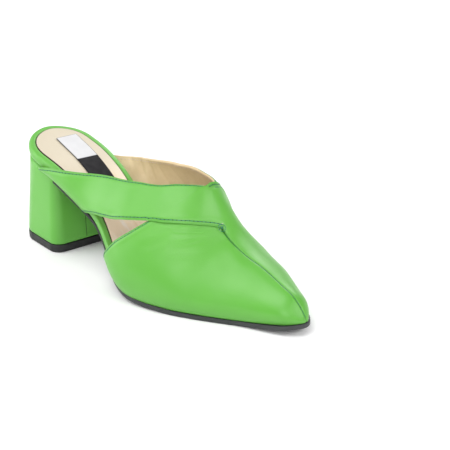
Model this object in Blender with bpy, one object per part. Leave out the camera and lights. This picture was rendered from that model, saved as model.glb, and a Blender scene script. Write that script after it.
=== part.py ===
"""Block heel mule with two crossing straps, one shoe, for the right foot.

Millimetres below, metres in the meshes. The toe points along +X, the outer side of the foot is -Y,
and the floor is z = 0. The tables are read by a smooth curve through their rows.
"""

import math

import bpy
import numpy as np

MM = 0.001

# Driving sizes of the last and the sole
SHOE_LENGTH = 236.0
TABLE_LENGTH = 236.0
HEEL_RISE = 61.9
HEEL_END_RADIUS = 27.0
TOE_END_RADIUS = 9.0
WALL = 1.7
OUTSOLE_THICK = 3.3
OUTSOLE_EDGE = 2.5
OUTSOLE_TOE_EDGE = 3.9
EDGE_AT_WAIST = -0.8
EDGE_START = 76.0
EDGE_RUN = 84.0
RIM_THICK = 7.3
FORE_THICK = 3.2
RIM_CROWN = 4.7
SOCK_INSET = 5.2
SOCK_THICK = 1.0
SOCK_RECESS = 1.1
GAP = 0.3

# Driving sizes of the heel
TOP_PIECE_THICK = 5.8
BREAST_SKEW = 0.22
BREAST_CLEAR = 1.3
SKEW_RUN = 40.0

# Driving sizes of the straps
LIFT_SHARE = 0.7
LABEL_LENGTH = 52.0
LABEL_WIDTH = 16.3
LABEL_THICK = 0.5
LABEL_MIDDLE = 44.4
LABEL_ACROSS = 0.6
LABEL_TURN = 0.166
LABEL_CORNER = 1.0

# Outline of the insole, seen from above: along, outer half width, inner half width
OUTLINE = (
    (0.0, 25.6, 19.0),
    (15.0, 27.0, 22.6),
    (35.0, 27.8, 22.8),
    (57.0, 28.2, 20.6),
    (83.0, 28.6, 17.0),
    (100.0, 35.8, 17.5),
    (113.0, 42.7, 20.0),
    (128.0, 45.0, 24.0),
    (140.0, 43.2, 26.8),
    (156.0, 39.0, 28.3),
    (175.0, 31.5, 27.3),
    (200.0, 19.8, 21.0),
    (219.0, 12.8, 12.8),
    (230.0, 8.9, 8.0),
    (236.0, 6.6, 5.0),
)

# Underside of the sole from the side: along, share of the heel rise
RISE = (
    (0.0, 1.000),
    (24.0, 0.904),
    (47.0, 0.798),
    (62.0, 0.682),
    (75.0, 0.546),
    (88.0, 0.393),
    (101.0, 0.241),
    (115.0, 0.114),
    (126.0, 0.045),
    (138.0, 0.018),
    (152.0, 0.008),
    (165.0, 0.000),
    (190.0, 0.000),
    (203.0, 0.008),
    (219.0, 0.033),
    (236.0, 0.075),
)

# Sections of the last: along, outer shoulder out and up, ridge out and height, inner shoulder out and up
SECTIONS = (
    (18.0, 1.06, 0.40, 0.00, 32.0, 1.10, 0.40),
    (45.0, 1.06, 0.42, 0.12, 38.0, 1.20, 0.42),
    (70.0, 1.02, 0.45, 0.32, 49.0, 1.50, 0.45),
    (95.0, 0.95, 0.48, 0.50, 63.5, 1.66, 0.52),
    (118.0, 0.89, 0.50, 0.52, 72.5, 1.46, 0.56),
    (135.0, 0.86, 0.49, 0.45, 74.0, 1.25, 0.52),
    (148.0, 0.86, 0.47, 0.375, 69.5, 1.10, 0.468),
    (156.0, 0.87, 0.47, 0.305, 61.4, 1.01, 0.450),
    (164.0, 0.89, 0.48, 0.245, 50.8, 1.035, 0.492),
    (172.0, 0.91, 0.50, 0.18, 42.0, 1.085, 0.552),
    (184.0, 0.94, 0.52, 0.10, 34.5, 1.075, 0.583),
    (202.0, 0.96, 0.55, 0.03, 27.5, 1.08, 0.61),
    (216.0, 0.98, 0.56, 0.02, 21.2, 1.04, 0.61),
    (228.0, 1.00, 0.58, 0.00, 14.8, 1.00, 0.60),
    (236.0, 1.00, 0.58, 0.00, 9.0, 1.00, 0.58),
)
NOSE_LENGTH = 14.0
TOE_RUN = 36.0
WAIST_START = 100.0
WAIST_RUN = 40.0

# Edges of the straps and the vamp: along, share of the way round from the outer to the inner sole line
OVER_STRAP_REAR = (
    (28.0, 0.0),
    (36.0, 0.105),
    (46.0, 0.18),
    (58.0, 0.236),
    (70.0, 0.28),
    (92.0, 0.338),
    (111.0, 0.375),
    (135.0, 0.414),
    (148.0, 0.456),
    (153.0, 0.50),
)
UNDER_STRAP_REAR = (
    (153.0, 0.5),
    (149.5, 0.553),
    (142.0, 0.592),
    (132.0, 0.622),
    (119.0, 0.652),
    (106.0, 0.68),
    (93.0, 0.71),
    (79.0, 0.754),
    (66.0, 0.826),
    (57.0, 0.886),
    (49.0, 0.944),
    (41.0, 1.0),
)
OVER_STRAP_FRONT = (
    (71.0, 0.0),
    (78.0, 0.082),
    (86.0, 0.15),
    (96.0, 0.211),
    (110.0, 0.268),
    (122.0, 0.30),
    (133.5, 0.32),
)
UNDER_STRAP_FRONT = (
    (139.0, 0.69),
    (129.0, 0.737),
    (119.0, 0.777),
    (110.0, 0.81),
    (101.0, 0.84),
    (93.0, 0.871),
    (85.5, 0.91),
    (79.0, 0.958),
    (74.5, 1.0),
)
VAMP_REAR_OUTER = (
    (101.0, 0.0),
    (105.0, 0.068),
    (112.5, 0.153),
    (118.1, 0.214),
    (123.4, 0.258),
    (128.5, 0.292),
    (133.5, 0.32),
)
VAMP_REAR_INNER = (
    (101.0, 1.0),
    (105.5, 0.93),
    (111.5, 0.868),
    (119.0, 0.812),
    (128.0, 0.757),
    (139.0, 0.69),
)
CROSSING_OUTER_REAR = (
    (133.5, 0.32),
    (143.5, 0.374),
    (150.5, 0.443),
    (153.0, 0.50),
)
CROSSING_OUTER_FRONT = (
    (133.5, 0.32),
    (143.6, 0.335),
    (152.3, 0.36),
    (159.5, 0.397),
    (165.0, 0.442),
    (168.0, 0.47),
)
CROSSING_INNER_REAR = (
    (153.0, 0.5),
    (151.5, 0.557),
    (146.5, 0.615),
    (139.0, 0.69),
)
CROSSING_INNER_FRONT = (
    (168.0, 0.47),
    (163.0, 0.545),
    (154.0, 0.615),
    (139.0, 0.69),
)
CENTRE_SEAM = (
    (168.0, 0.47),
    (184.0, 0.488),
    (203.0, 0.503),
    (218.0, 0.499),
    (236.0, 0.50),
)

# Plan of the heel: height share, back, breast, outer side, inner side, back corner, front corner, turn
HEEL_PLAN = (
    (0.0, 2.6, 50.5, 28.7, 25.0, 14.0, 7.5, 0.12),
    (0.25, 2.5, 49.7, 28.1, 24.6, 16.0, 7.2, 0.11),
    (0.6, 2.3, 48.4, 27.2, 24.0, 19.5, 6.5, 0.09),
    (1.0, 2.0, 47.3, 26.4, 23.2, 23.5, 5.0, 0.05),
)

# Rounded side of the insole: inset, height share
RIM_SIDE = (
    (1.2, 0.0),
    (0.45, 0.06),
    (0.08, 0.25),
    (0.0, 0.55),
    (0.35, 0.80),
    (1.2, 0.95),
    (2.4, 1.0),
)

ALONG_STEPS = 60
STRAP_ALONG_STEPS = 20
STRAP_ACROSS_STEPS = 10
CROSSING_SHORT_STEPS = 8
VAMP_REAR_STEPS = 9
VAMP_ALONG_STEPS = 24


def table_curve(xs, ys, x):
    """Smooth curve through the rows of a table."""
    xs = np.asarray(xs, float)
    ys = np.asarray(ys, float)
    x = np.clip(np.asarray(x, float), xs[0], xs[-1])
    step = np.diff(xs)
    rise = np.diff(ys) / step
    slope = np.empty_like(ys)
    slope[0] = rise[0]
    slope[-1] = rise[-1]
    slope[1:-1] = (rise[:-1] * step[1:] + rise[1:] * step[:-1]) / (step[1:] + step[:-1])
    slope[1:-1] = np.where((rise[:-1] == 0) | (rise[1:] == 0), 0.0, slope[1:-1])
    i = np.clip(np.searchsorted(xs, x) - 1, 0, len(xs) - 2)
    t = (x - xs[i]) / step[i]
    start = (1 + 2 * t) * (1 - t) ** 2 * ys[i]
    start = start + t * (1 - t) ** 2 * step[i] * slope[i]
    end = t * t * (3 - 2 * t) * ys[i + 1]
    end = end + t * t * (t - 1) * step[i] * slope[i + 1]
    return start + end


def ease(t):
    """Soft step from 0 to 1."""
    t = np.clip(t, 0.0, 1.0)
    return t * t * (3 - 2 * t)


def column(table, name):
    """One column of a table by its place."""
    return np.array([row[name] for row in table], float)


def stations(table):
    """First column of a table, stretched to the length of the shoe."""
    return column(table, 0) * SHOE_LENGTH / TABLE_LENGTH


def rim_rise(x):
    """Height of the top of the outsole, which is the underside of the insole."""
    return table_curve(stations(RISE), column(RISE, 1) * HEEL_RISE, x) + OUTSOLE_THICK


def end_rounding(x, grow):
    """How far the outline has closed towards its heel and toe ends."""
    back = np.clip(1 - (x + grow) / (HEEL_END_RADIUS + grow), 0, 1)
    front = np.clip((x - SHOE_LENGTH + TOE_END_RADIUS) / (TOE_END_RADIUS + grow), 0, 1)
    heel = np.sqrt(np.clip(1 - back ** 2.3, 0, 1))
    toe = np.sqrt(np.clip(1 - front ** 2, 0, 1))
    return heel * toe


def outline(x, grow=0.0):
    """Outer and inner side of the insole outline, grown outwards."""
    rounding = end_rounding(x, grow)
    outer = -(table_curve(stations(OUTLINE), column(OUTLINE, 1), x) + grow) * rounding
    inner = (table_curve(stations(OUTLINE), column(OUTLINE, 2), x) + grow) * rounding
    return outer, inner


def section_curve(values, share):
    """Smooth curve through five points evenly spaced round a section."""
    tangent = [None] * 5
    for k in (1, 2, 3):
        tangent[k] = (values[k + 1] - values[k - 1]) / 2
    tangent[0] = 2 * (values[1] - values[0]) - tangent[1]
    tangent[4] = 2 * (values[4] - values[3]) - tangent[3]
    scaled = np.clip(share * 4, 0, 4)
    i = np.clip(scaled.astype(int), 0, 3)
    t = scaled - i
    result = np.zeros_like(share)
    for k in range(4):
        piece = (1 + 2 * t) * (1 - t) ** 2 * values[k] + t * (1 - t) ** 2 * tangent[k]
        piece = piece + t * t * (3 - 2 * t) * values[k + 1] + t * t * (t - 1) * tangent[k + 1]
        result = np.where(i == k, piece, result)
    return result


def last_surface(x, share, grow):
    """Point on the last, grown outwards, at a place along it and a share of the way round it."""
    x, share = np.broadcast_arrays(np.asarray(x, float), np.asarray(share, float))
    total = WALL + grow
    reach = x + total * ease((x - SHOE_LENGTH + TOE_RUN) / TOE_RUN)
    outer, inner = outline(reach, total)
    middle = (outer + inner) / 2
    half = (inner - outer) / 2
    rows = [table_curve(stations(SECTIONS), column(SECTIONS, k), x) for k in range(1, 7)]
    nose = np.clip((reach - SHOE_LENGTH + NOSE_LENGTH) / (NOSE_LENGTH + total), 0, 1)
    closing = np.sqrt(np.clip(1 - nose ** 2.6, 0, 1))
    height = (rows[3] + grow) * closing
    across = (outer, middle - rows[0] * half, middle + rows[2] * half, middle + rows[4] * half, inner)
    upward = (0 * height, rows[1] * height, height, rows[5] * height, 0 * height)
    y = section_curve(across, share)
    z = rim_rise(reach) + GAP + section_curve(upward, share)
    return np.stack([reach, y, z], -1)


def upper_surface(x, share, grow):
    """Point of the upper at a level above its finished face, with the level measured square to it."""
    x, share = np.broadcast_arrays(np.asarray(x, float), np.asarray(share, float))
    face = last_surface(x, share, 0.0)
    push = last_surface(x, share, 0.5) - last_surface(x, share, -0.5)
    inward = np.clip(x, 1.0, SHOE_LENGTH - 1.0)
    inside = np.clip(share, 0.01, 0.99)
    along = last_surface(inward + 0.5, inside, 0.0) - last_surface(inward - 0.5, inside, 0.0)
    around = last_surface(inward, inside + 0.005, 0.0) - last_surface(inward, inside - 0.005, 0.0)
    normal = np.cross(around, along)
    normal = normal / np.maximum(np.linalg.norm(normal, axis=-1, keepdims=True), 1e-9)
    facing = np.abs((normal * push).sum(-1))
    stretch = np.clip(1 / np.maximum(facing, 0.5), 1.0, 1.7)
    edge = ease(np.minimum(share, 1 - share) / 0.12) * ease((SHOE_LENGTH - x) / 14.0)
    stretch = 1 + (stretch - 1) * edge
    return face + push * (np.asarray(grow) * stretch)[..., None]


def path(table, steps, power=None):
    """Points evenly spaced along a curve through a table of places on the last."""
    rows = np.array(table, float)
    rows[:, 0] = stations(table)
    lengths = np.hypot(np.diff(rows[:, 0]) / 100.0, np.diff(rows[:, 1]))
    at = np.concatenate([[0.0], np.cumsum(lengths)])
    share = np.linspace(0, 1, steps + 1)
    if power is not None:
        share = np.sin(share * math.pi / 2) ** power
    s = at[-1] * share
    return np.stack([table_curve(at, rows[:, 0], s), table_curve(at, rows[:, 1], s)], -1)


def filled(near, far, left, right):
    """Grid between four curves that meet at their ends, near and far across, left and right along."""
    rows = len(left)
    columns = len(near)
    v = np.linspace(0, 1, rows)[:, None, None]
    if rows > 2:
        spans = np.linalg.norm(np.diff(left, axis=0) / (100.0, 1.0), axis=1)
        lengths = np.concatenate([[0], np.cumsum(spans)])
        v = (lengths / lengths[-1])[:, None, None]
    u = np.linspace(0, 1, columns)[None, :, None]
    grid = (1 - v) * near[None] + v * far[None] + (1 - u) * left[:, None] + u * right[:, None]
    corner = (1 - u) * (1 - v) * near[0] + u * (1 - v) * near[-1]
    corner = corner + (1 - u) * v * far[0] + u * v * far[-1]
    return grid - corner


class Shell:
    """Faces gathered from patches, with equal points made one."""

    def __init__(self):
        self.points = []
        self.index = {}
        self.faces = []

    def point(self, place):
        key = tuple(int(round(value * 10000)) for value in place)
        if key not in self.index:
            self.index[key] = len(self.points)
            self.points.append(tuple(float(value) for value in place))
        return self.index[key]

    def face(self, corners):
        kept = []
        for corner in corners:
            if corner not in kept:
                kept.append(corner)
        if len(kept) >= 3:
            self.faces.append(kept)


class Patch:
    """Piece of leather over a grid of places on the last, with the level of its two faces."""

    def __init__(self, grid, outer, inner):
        self.grid = grid
        self.outer = outer
        self.inner = inner
        self.top = upper_surface(grid[..., 0], grid[..., 1], outer * WALL)
        self.under = upper_surface(grid[..., 0], grid[..., 1], inner * WALL)

    def rim(self):
        """Edges of the grid in the winding of its outer face."""
        rows, columns = self.grid.shape[:2]
        ring = [(0, j) for j in range(columns)]
        ring = ring + [(i, columns - 1) for i in range(1, rows)]
        ring = ring + [(rows - 1, j) for j in range(columns - 2, -1, -1)]
        ring = ring + [(i, 0) for i in range(rows - 2, 0, -1)]
        return list(zip(ring, ring[1:] + ring[:1]))

    def key(self, cell):
        return tuple(int(round(value * 1000)) for value in self.grid[cell] * (1.0, 100.0))

    def at_level(self, cell, level):
        place = self.grid[cell]
        return upper_surface(place[0], place[1], level * WALL)


def upper_patches():
    """The two crossing pieces of the upper, cut into patches that share their edges."""
    crossing_outer_rear = path(CROSSING_OUTER_REAR, STRAP_ACROSS_STEPS)
    crossing_inner_front = path(CROSSING_INNER_FRONT, STRAP_ACROSS_STEPS)
    crossing_outer_front = path(CROSSING_OUTER_FRONT, CROSSING_SHORT_STEPS)
    crossing_inner_rear = path(CROSSING_INNER_REAR, CROSSING_SHORT_STEPS)

    along = np.linspace(stations(OVER_STRAP_REAR)[0], stations(OVER_STRAP_FRONT)[0], STRAP_ACROSS_STEPS + 1)
    sole_outer = np.stack([along, np.zeros(STRAP_ACROSS_STEPS + 1)], -1)
    over_strap = filled(sole_outer, crossing_outer_rear[::-1],
                        path(OVER_STRAP_REAR, STRAP_ALONG_STEPS), path(OVER_STRAP_FRONT, STRAP_ALONG_STEPS))
    first, last = stations(UNDER_STRAP_FRONT)[-1], stations(UNDER_STRAP_REAR)[-1]
    along = np.linspace(first, last, CROSSING_SHORT_STEPS + 1)
    sole_inner = np.stack([along, np.ones(CROSSING_SHORT_STEPS + 1)], -1)
    under_strap = filled(sole_inner, crossing_inner_rear[::-1],
                         path(UNDER_STRAP_FRONT, STRAP_ALONG_STEPS)[::-1],
                         path(UNDER_STRAP_REAR, STRAP_ALONG_STEPS)[::-1])
    crossing = filled(crossing_outer_front, crossing_inner_rear,
                      crossing_outer_rear, crossing_inner_front)

    bend = np.sin(np.linspace(0, 1, VAMP_ALONG_STEPS + 1) * math.pi / 2)
    seam = path(CENTRE_SEAM, VAMP_ALONG_STEPS, 1.0)
    outer_rear = np.concatenate([path(VAMP_REAR_OUTER, VAMP_REAR_STEPS), crossing_outer_front[1:]])
    inner_rear = np.concatenate([path(VAMP_REAR_INNER, VAMP_REAR_STEPS), crossing_inner_front[::-1][1:]])
    start = stations(VAMP_REAR_OUTER)[0]
    sole_line = start + (SHOE_LENGTH - start) * bend
    tip = np.stack([np.full(len(outer_rear), SHOE_LENGTH), np.linspace(0, 0.5, len(outer_rear))], -1)
    outer_vamp = filled(outer_rear, tip, np.stack([sole_line, 0 * sole_line], -1), seam)[:, ::-1]
    tip = np.stack([np.full(len(inner_rear), SHOE_LENGTH), np.linspace(1, 0.5, len(inner_rear))], -1)
    inner_vamp = filled(inner_rear, tip, np.stack([sole_line, 0 * sole_line + 1], -1), seam)

    rise = ease(np.linspace(0, 1, STRAP_ALONG_STEPS + 1))[:, None] + 0 * over_strap[..., 0]
    over_lift = LIFT_SHARE * rise
    flat = 0 * under_strap[..., 0]
    full = 0 * crossing[..., 0] + LIFT_SHARE
    rear = np.ones(len(inner_rear))
    rear[: VAMP_REAR_STEPS + 1] = ease(np.linspace(0, 1, VAMP_REAR_STEPS + 1))
    fade = ease(1 - np.linspace(0, 1, VAMP_ALONG_STEPS + 1) / 0.22)
    vamp_lift = LIFT_SHARE * fade[:, None] * rear[None]
    return [
        Patch(over_strap, over_lift, over_lift - 1),
        Patch(under_strap, flat, flat - 1),
        Patch(crossing, full, 0 * full - 1),
        Patch(outer_vamp, 0 * outer_vamp[..., 0], 0 * outer_vamp[..., 0] - 1),
        Patch(inner_vamp, vamp_lift, vamp_lift - 1),
    ]


def unlike(levels):
    """Levels without neighbours that are the same."""
    kept = [levels[0]]
    for level in levels[1:]:
        if abs(level - kept[-1]) > 1e-5:
            kept.append(level)
    return kept


def upper_shell():
    """Closed shell of the upper, with a step in the wall where one piece lies on the other."""
    patches = upper_patches()
    shell = Shell()
    edges = {}
    stops = {}
    for patch in patches:
        for a, b in patch.rim():
            edges.setdefault(frozenset((patch.key(a), patch.key(b))), []).append((patch, a, b))
            known = stops.setdefault(patch.key(a), set())
            known.update((round(float(patch.outer[a]), 6), round(float(patch.inner[a]), 6)))
    for patch in patches:
        rows, columns = patch.grid.shape[:2]
        for i in range(rows - 1):
            for j in range(columns - 1):
                cells = ((i, j), (i, j + 1), (i + 1, j + 1), (i + 1, j))
                shell.face([shell.point(patch.top[cell]) for cell in cells])
                shell.face([shell.point(patch.under[cell]) for cell in cells[::-1]])
        for a, b in patch.rim():
            if patch.key(a) == patch.key(b):
                continue
            beside = edges[frozenset((patch.key(a), patch.key(b)))]
            other = [entry for entry in beside if entry[0] is not patch]
            walls = []
            if other:
                near, p, q = other[0]
                if near.key(p) != patch.key(a):
                    p, q = q, p
                top_other = (near.outer[p], near.outer[q])
                under_other = (near.inner[p], near.inner[q])
                top_own = (patch.outer[a], patch.outer[b])
                under_own = (patch.inner[a], patch.inner[b])
                if max(top_own[0] - top_other[0], top_own[1] - top_other[1]) > 1e-6:
                    walls.append((top_own, top_other))
                if max(under_other[0] - under_own[0], under_other[1] - under_own[1]) > 1e-6:
                    walls.append((under_other, under_own))
            else:
                walls.append(((patch.outer[a], patch.outer[b]), (patch.inner[a], patch.inner[b])))
            for high, low in walls:
                down = [k for k in sorted(stops[patch.key(a)], reverse=True) if low[0] < k < high[0]]
                up = [k for k in sorted(stops[patch.key(b)]) if low[1] < k < high[1]]
                corners = [patch.at_level(a, k) for k in unlike([high[0], *down, low[0]])]
                corners = corners + [patch.at_level(b, k) for k in unlike([low[1], *up, high[1]])]
                shell.face([shell.point(corner) for corner in corners])
    return shell.points, shell.faces


def outline_ring(grow):
    """Stations along the outline from heel to toe on the outer side and the inner side."""
    share = np.linspace(0, 1, ALONG_STEPS + 1)
    x = -grow + (SHOE_LENGTH + 2 * grow) * (0.5 - 0.5 * np.cos(share * math.pi))
    outer, inner = outline(x, grow)
    return np.stack([x, outer], -1), np.stack([x, inner], -1)


def slab(levels):
    """Closed shell from rings of the outline, each with its growth and its height at a place along."""
    shell = Shell()
    rings = []
    for grow, height in levels:
        both = []
        for side in outline_ring(grow):
            z = height(side[:, 0])
            both.append([shell.point((p[0], p[1], q)) for p, q in zip(side, z)])
        rings.append(both)
    close_rings(shell, rings)
    return shell.points, shell.faces


def rim_thickness(x):
    """Thickness of the insole, full at the heel and waist and thin under the vamp."""
    return RIM_THICK - (RIM_THICK - FORE_THICK) * ease((x - WAIST_START) / WAIST_RUN)


def insole_levels():
    """Rings of the covered insole with its rounded side and the recess for the sock."""
    levels = []
    for inset, share in RIM_SIDE:
        levels.append((-GAP - inset, lambda x, s=share: rim_rise(x) + GAP * (1 - s) + s * rim_thickness(x)))
    floor = lambda x: rim_rise(x) + rim_thickness(x) - SOCK_RECESS
    levels.append((-RIM_CROWN, lambda x: rim_rise(x) + rim_thickness(x) - 0.15))
    levels.append((-RIM_CROWN - 0.15, floor))
    return levels


def sock_levels():
    """Rings of the sock that lines the footbed."""
    base = lambda x: rim_rise(x) + rim_thickness(x) - SOCK_RECESS + GAP
    return [
        (-SOCK_INSET - 0.2, base),
        (-SOCK_INSET, lambda x: base(x) + 0.35 * SOCK_THICK),
        (-SOCK_INSET, lambda x: base(x) + 0.75 * SOCK_THICK),
        (-SOCK_INSET - 0.5, lambda x: base(x) + SOCK_THICK),
    ]


def outsole_levels():
    """Rings of the outsole with a slightly eased lower edge."""
    bottom = lambda x: rim_rise(x) - OUTSOLE_THICK
    return [
        (-0.6, bottom),
        (0.0, lambda x: bottom(x) + 0.5),
        (0.0, lambda x: bottom(x) + OUTSOLE_THICK - 0.4),
        (-0.35, lambda x: bottom(x) + OUTSOLE_THICK),
    ]


def outsole_shell():
    """Outsole from the heel breast to the toe, standing out beyond the vamp."""
    start = HEEL_PLAN[-1][2] + BREAST_CLEAR
    shell = Shell()
    share = np.sin(np.linspace(0, 1, ALONG_STEPS + 1) * math.pi / 2)
    rings = []
    for inset, height in outsole_levels():
        stop = SHOE_LENGTH + OUTSOLE_EDGE + inset
        x = start + (stop - start) * share
        stand = EDGE_AT_WAIST + (OUTSOLE_EDGE - EDGE_AT_WAIST) * ease((x - EDGE_START) / EDGE_RUN) + inset
        stand = stand + (OUTSOLE_TOE_EDGE - OUTSOLE_EDGE) * ease((x - SHOE_LENGTH + TOE_RUN) / TOE_RUN)
        rounding = end_rounding(x, OUTSOLE_EDGE + inset)
        outer = -(table_curve(stations(OUTLINE), column(OUTLINE, 1), x) + stand) * rounding
        inner = (table_curve(stations(OUTLINE), column(OUTLINE, 2), x) + stand) * rounding
        fade = 1 - ease((x - start) / SKEW_RUN)
        both = []
        for side in (outer, inner):
            along = x + BREAST_SKEW * side * fade
            z = height(along)
            both.append([shell.point(place) for place in zip(along, side, z)])
        rings.append(both)
    close_rings(shell, rings)
    return shell.points, shell.faces


def close_rings(shell, rings):
    """Sides between rings, and the faces that close the first and the last ring."""
    steps = len(rings[0][0]) - 1
    for below, above in zip(rings, rings[1:]):
        for i in range(steps):
            shell.face([below[0][i], below[0][i + 1], above[0][i + 1], above[0][i]])
            shell.face([below[1][i + 1], below[1][i], above[1][i], above[1][i + 1]])
        if below[0][0] != below[1][0]:
            shell.face([below[1][0], below[0][0], above[0][0], above[1][0]])
        if below[0][-1] != below[1][-1]:
            shell.face([below[0][-1], below[1][-1], above[1][-1], above[0][-1]])
    first, last = rings[0], rings[-1]
    for i in range(steps):
        shell.face([first[0][i], first[1][i], first[1][i + 1], first[0][i + 1]])
        shell.face([last[0][i], last[0][i + 1], last[1][i + 1], last[1][i]])


def heel_ring(share, inset=0.0):
    """Outer and inner side of the heel plan at a height share."""
    back, breast, outer, inner, back_corner, front_corner, turned = [
        float(table_curve(column(HEEL_PLAN, 0), column(HEEL_PLAN, k), share)) for k in range(1, 8)
    ]
    centre = (back + breast) / 2
    back = back + inset
    breast = breast - inset
    half = (outer + inner) / 2 - inset
    middle = (inner - outer) / 2
    back_radius = back_corner - inset
    front_radius = front_corner - inset
    turn = np.linspace(0, math.pi / 2, 10)
    x = list(back + back_radius * (1 - np.cos(turn)))
    x = x + list(np.linspace(back + back_radius, breast - front_radius, 7)[1:-1])
    x = x + list(breast - front_radius * (1 - np.sin(turn)))
    x = np.array(x)
    behind = np.clip(back_radius - (x - back), 0, back_radius)
    ahead = np.clip(front_radius - (breast - x), 0, front_radius)
    width = half - back_radius + np.sqrt(np.clip(back_radius ** 2 - behind ** 2, 0, None))
    width = width - front_radius + np.sqrt(np.clip(front_radius ** 2 - ahead ** 2, 0, None))
    lean = BREAST_SKEW * ease((x - back) / (breast - back))
    sides = []
    for sign in (-1, 1):
        y = middle + sign * width
        sides.append(np.stack([x + lean * (y - middle), y - turned * (x - centre)], -1))
    return sides


def heel_shell():
    """Covered heel block from the top piece up to the underside of the insole."""
    shell = Shell()
    rings = []
    foot = TOP_PIECE_THICK + GAP
    shares = (0.0, 0.006, 0.12, 0.25, 0.4, 0.6, 0.8, 0.99, 1.0)
    insets = (0.6, 0.0, 0.0, 0.0, 0.0, 0.0, 0.0, 0.0, 0.5)
    for share, inset in zip(shares, insets):
        both = []
        for side in heel_ring(share, inset):
            ceiling = rim_rise(side[:, 0])
            z = foot + share * (ceiling - foot)
            both.append([shell.point((p[0], p[1], q)) for p, q in zip(side, z)])
        rings.append(both)
    close_rings(shell, rings)
    return shell.points, shell.faces


def top_piece_shell():
    """Hard rubber top piece under the heel, flat on the floor."""
    shell = Shell()
    rings = []
    for height, inset in ((0.0, 0.7), (0.6, 0.0), (TOP_PIECE_THICK - 0.3, -0.2), (TOP_PIECE_THICK, 0.1)):
        both = []
        for side in heel_ring(0.0, inset):
            both.append([shell.point((p[0], p[1], height)) for p in side])
        rings.append(both)
    close_rings(shell, rings)
    return shell.points, shell.faces


def label_shell():
    """Plain thin plate on the sock at the heel."""
    shell = Shell()
    rings = []
    turn = np.linspace(0, math.pi / 2, 5)
    for level, inset in ((GAP, 0.0), (GAP + 0.6 * LABEL_THICK, 0.0), (GAP + LABEL_THICK, 0.25)):
        back = inset - LABEL_LENGTH / 2
        front = LABEL_LENGTH / 2 - inset
        radius = LABEL_CORNER - inset
        x = list(back + radius * (1 - np.cos(turn)))
        x = x + list(np.linspace(back + radius, front - radius, 13)[1:-1])
        x = x + list(front - radius * (1 - np.sin(turn)))
        x = np.array(x)
        behind = np.clip(radius - (x - back), 0, radius)
        ahead = np.clip(radius - (front - x), 0, radius)
        width = LABEL_WIDTH / 2 - inset - 2 * radius
        width = width + np.sqrt(radius ** 2 - behind ** 2) + np.sqrt(radius ** 2 - ahead ** 2)
        both = []
        for sign in (-1, 1):
            along = LABEL_MIDDLE + math.cos(LABEL_TURN) * x + math.sin(LABEL_TURN) * sign * width
            across = LABEL_ACROSS - math.sin(LABEL_TURN) * x + math.cos(LABEL_TURN) * sign * width
            ground = rim_rise(along) + rim_thickness(along) - SOCK_RECESS + GAP + SOCK_THICK
            both.append([shell.point(place) for place in zip(along, across, ground + level)])
        rings.append(both)
    close_rings(shell, rings)
    return shell.points, shell.faces


def finish(name, colour, roughness, coat=0.0):
    """Material of one piece."""
    material = bpy.data.materials.new(name)
    material.use_nodes = True
    shader = material.node_tree.nodes["Principled BSDF"]
    shader.inputs["Base Color"].default_value = (*colour, 1.0)
    shader.inputs["Roughness"].default_value = roughness
    shader.inputs["Coat Weight"].default_value = coat
    material.diffuse_color = (*colour, 1.0)
    return material


def clear_scene():
    """Remove what the start-up scene holds."""
    for item in list(bpy.data.objects):
        bpy.data.objects.remove(item, do_unlink=True)
    for mesh in list(bpy.data.meshes):
        bpy.data.meshes.remove(mesh)


def main():
    clear_scene()
    collection = bpy.data.collections.new("block_heel_mule")
    bpy.context.scene.collection.children.link(collection)
    green = (0.145, 0.445, 0.080)
    beige = (0.72, 0.52, 0.33)
    black = (0.018, 0.018, 0.018)
    pieces = {
        "upper": (upper_shell(), finish("green leather", green, 0.38, 0.2)),
        "covered_insole": (slab(insole_levels()), finish("green leather wrap", green, 0.40, 0.2)),
        "sock": (slab(sock_levels()), finish("beige lining leather", beige, 0.45)),
        "outsole": (outsole_shell(), finish("black sole rubber", black, 0.60)),
        "heel_block": (heel_shell(), finish("green leather cover", green, 0.40, 0.2)),
        "top_piece": (top_piece_shell(), finish("black heel rubber", black, 0.65)),
        "sock_label": (label_shell(), finish("off white plate", (0.80, 0.78, 0.72), 0.50)),
    }
    everything = np.concatenate([np.array(shell[0]) for shell, _ in pieces.values()])
    low = everything.min(axis=0)
    high = everything.max(axis=0)
    shift = np.array([-(low[0] + high[0]) / 2, -(low[1] + high[1]) / 2, -low[2]])
    for name, ((points, faces), material) in pieces.items():
        mesh = bpy.data.meshes.new(name)
        placed = (np.array(points) + shift) * MM
        mesh.from_pydata([tuple(p) for p in placed], [], faces)
        mesh.validate()
        mesh.materials.append(material)
        mesh.shade_smooth()
        mesh.set_sharp_from_angle(angle=math.radians(38))
        mesh.update()
        item = bpy.data.objects.new(name, mesh)
        collection.objects.link(item)


main()
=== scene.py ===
"""Block heel mule with two crossing straps, one right shoe on a plain pale floor.

Lengths are millimetres in the shoe's own frame: the toe points along +X, the outer side of the
foot is -Y, and the floor is z = 0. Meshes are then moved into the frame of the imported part.
"""

import itertools
import logging
import math
from dataclasses import dataclass, field, replace
from enum import Enum
from typing import Callable, Iterable, Optional, Sequence

import bpy
import numpy as np
from mathutils import Matrix, Vector
from mathutils.kdtree import KDTree


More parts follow.
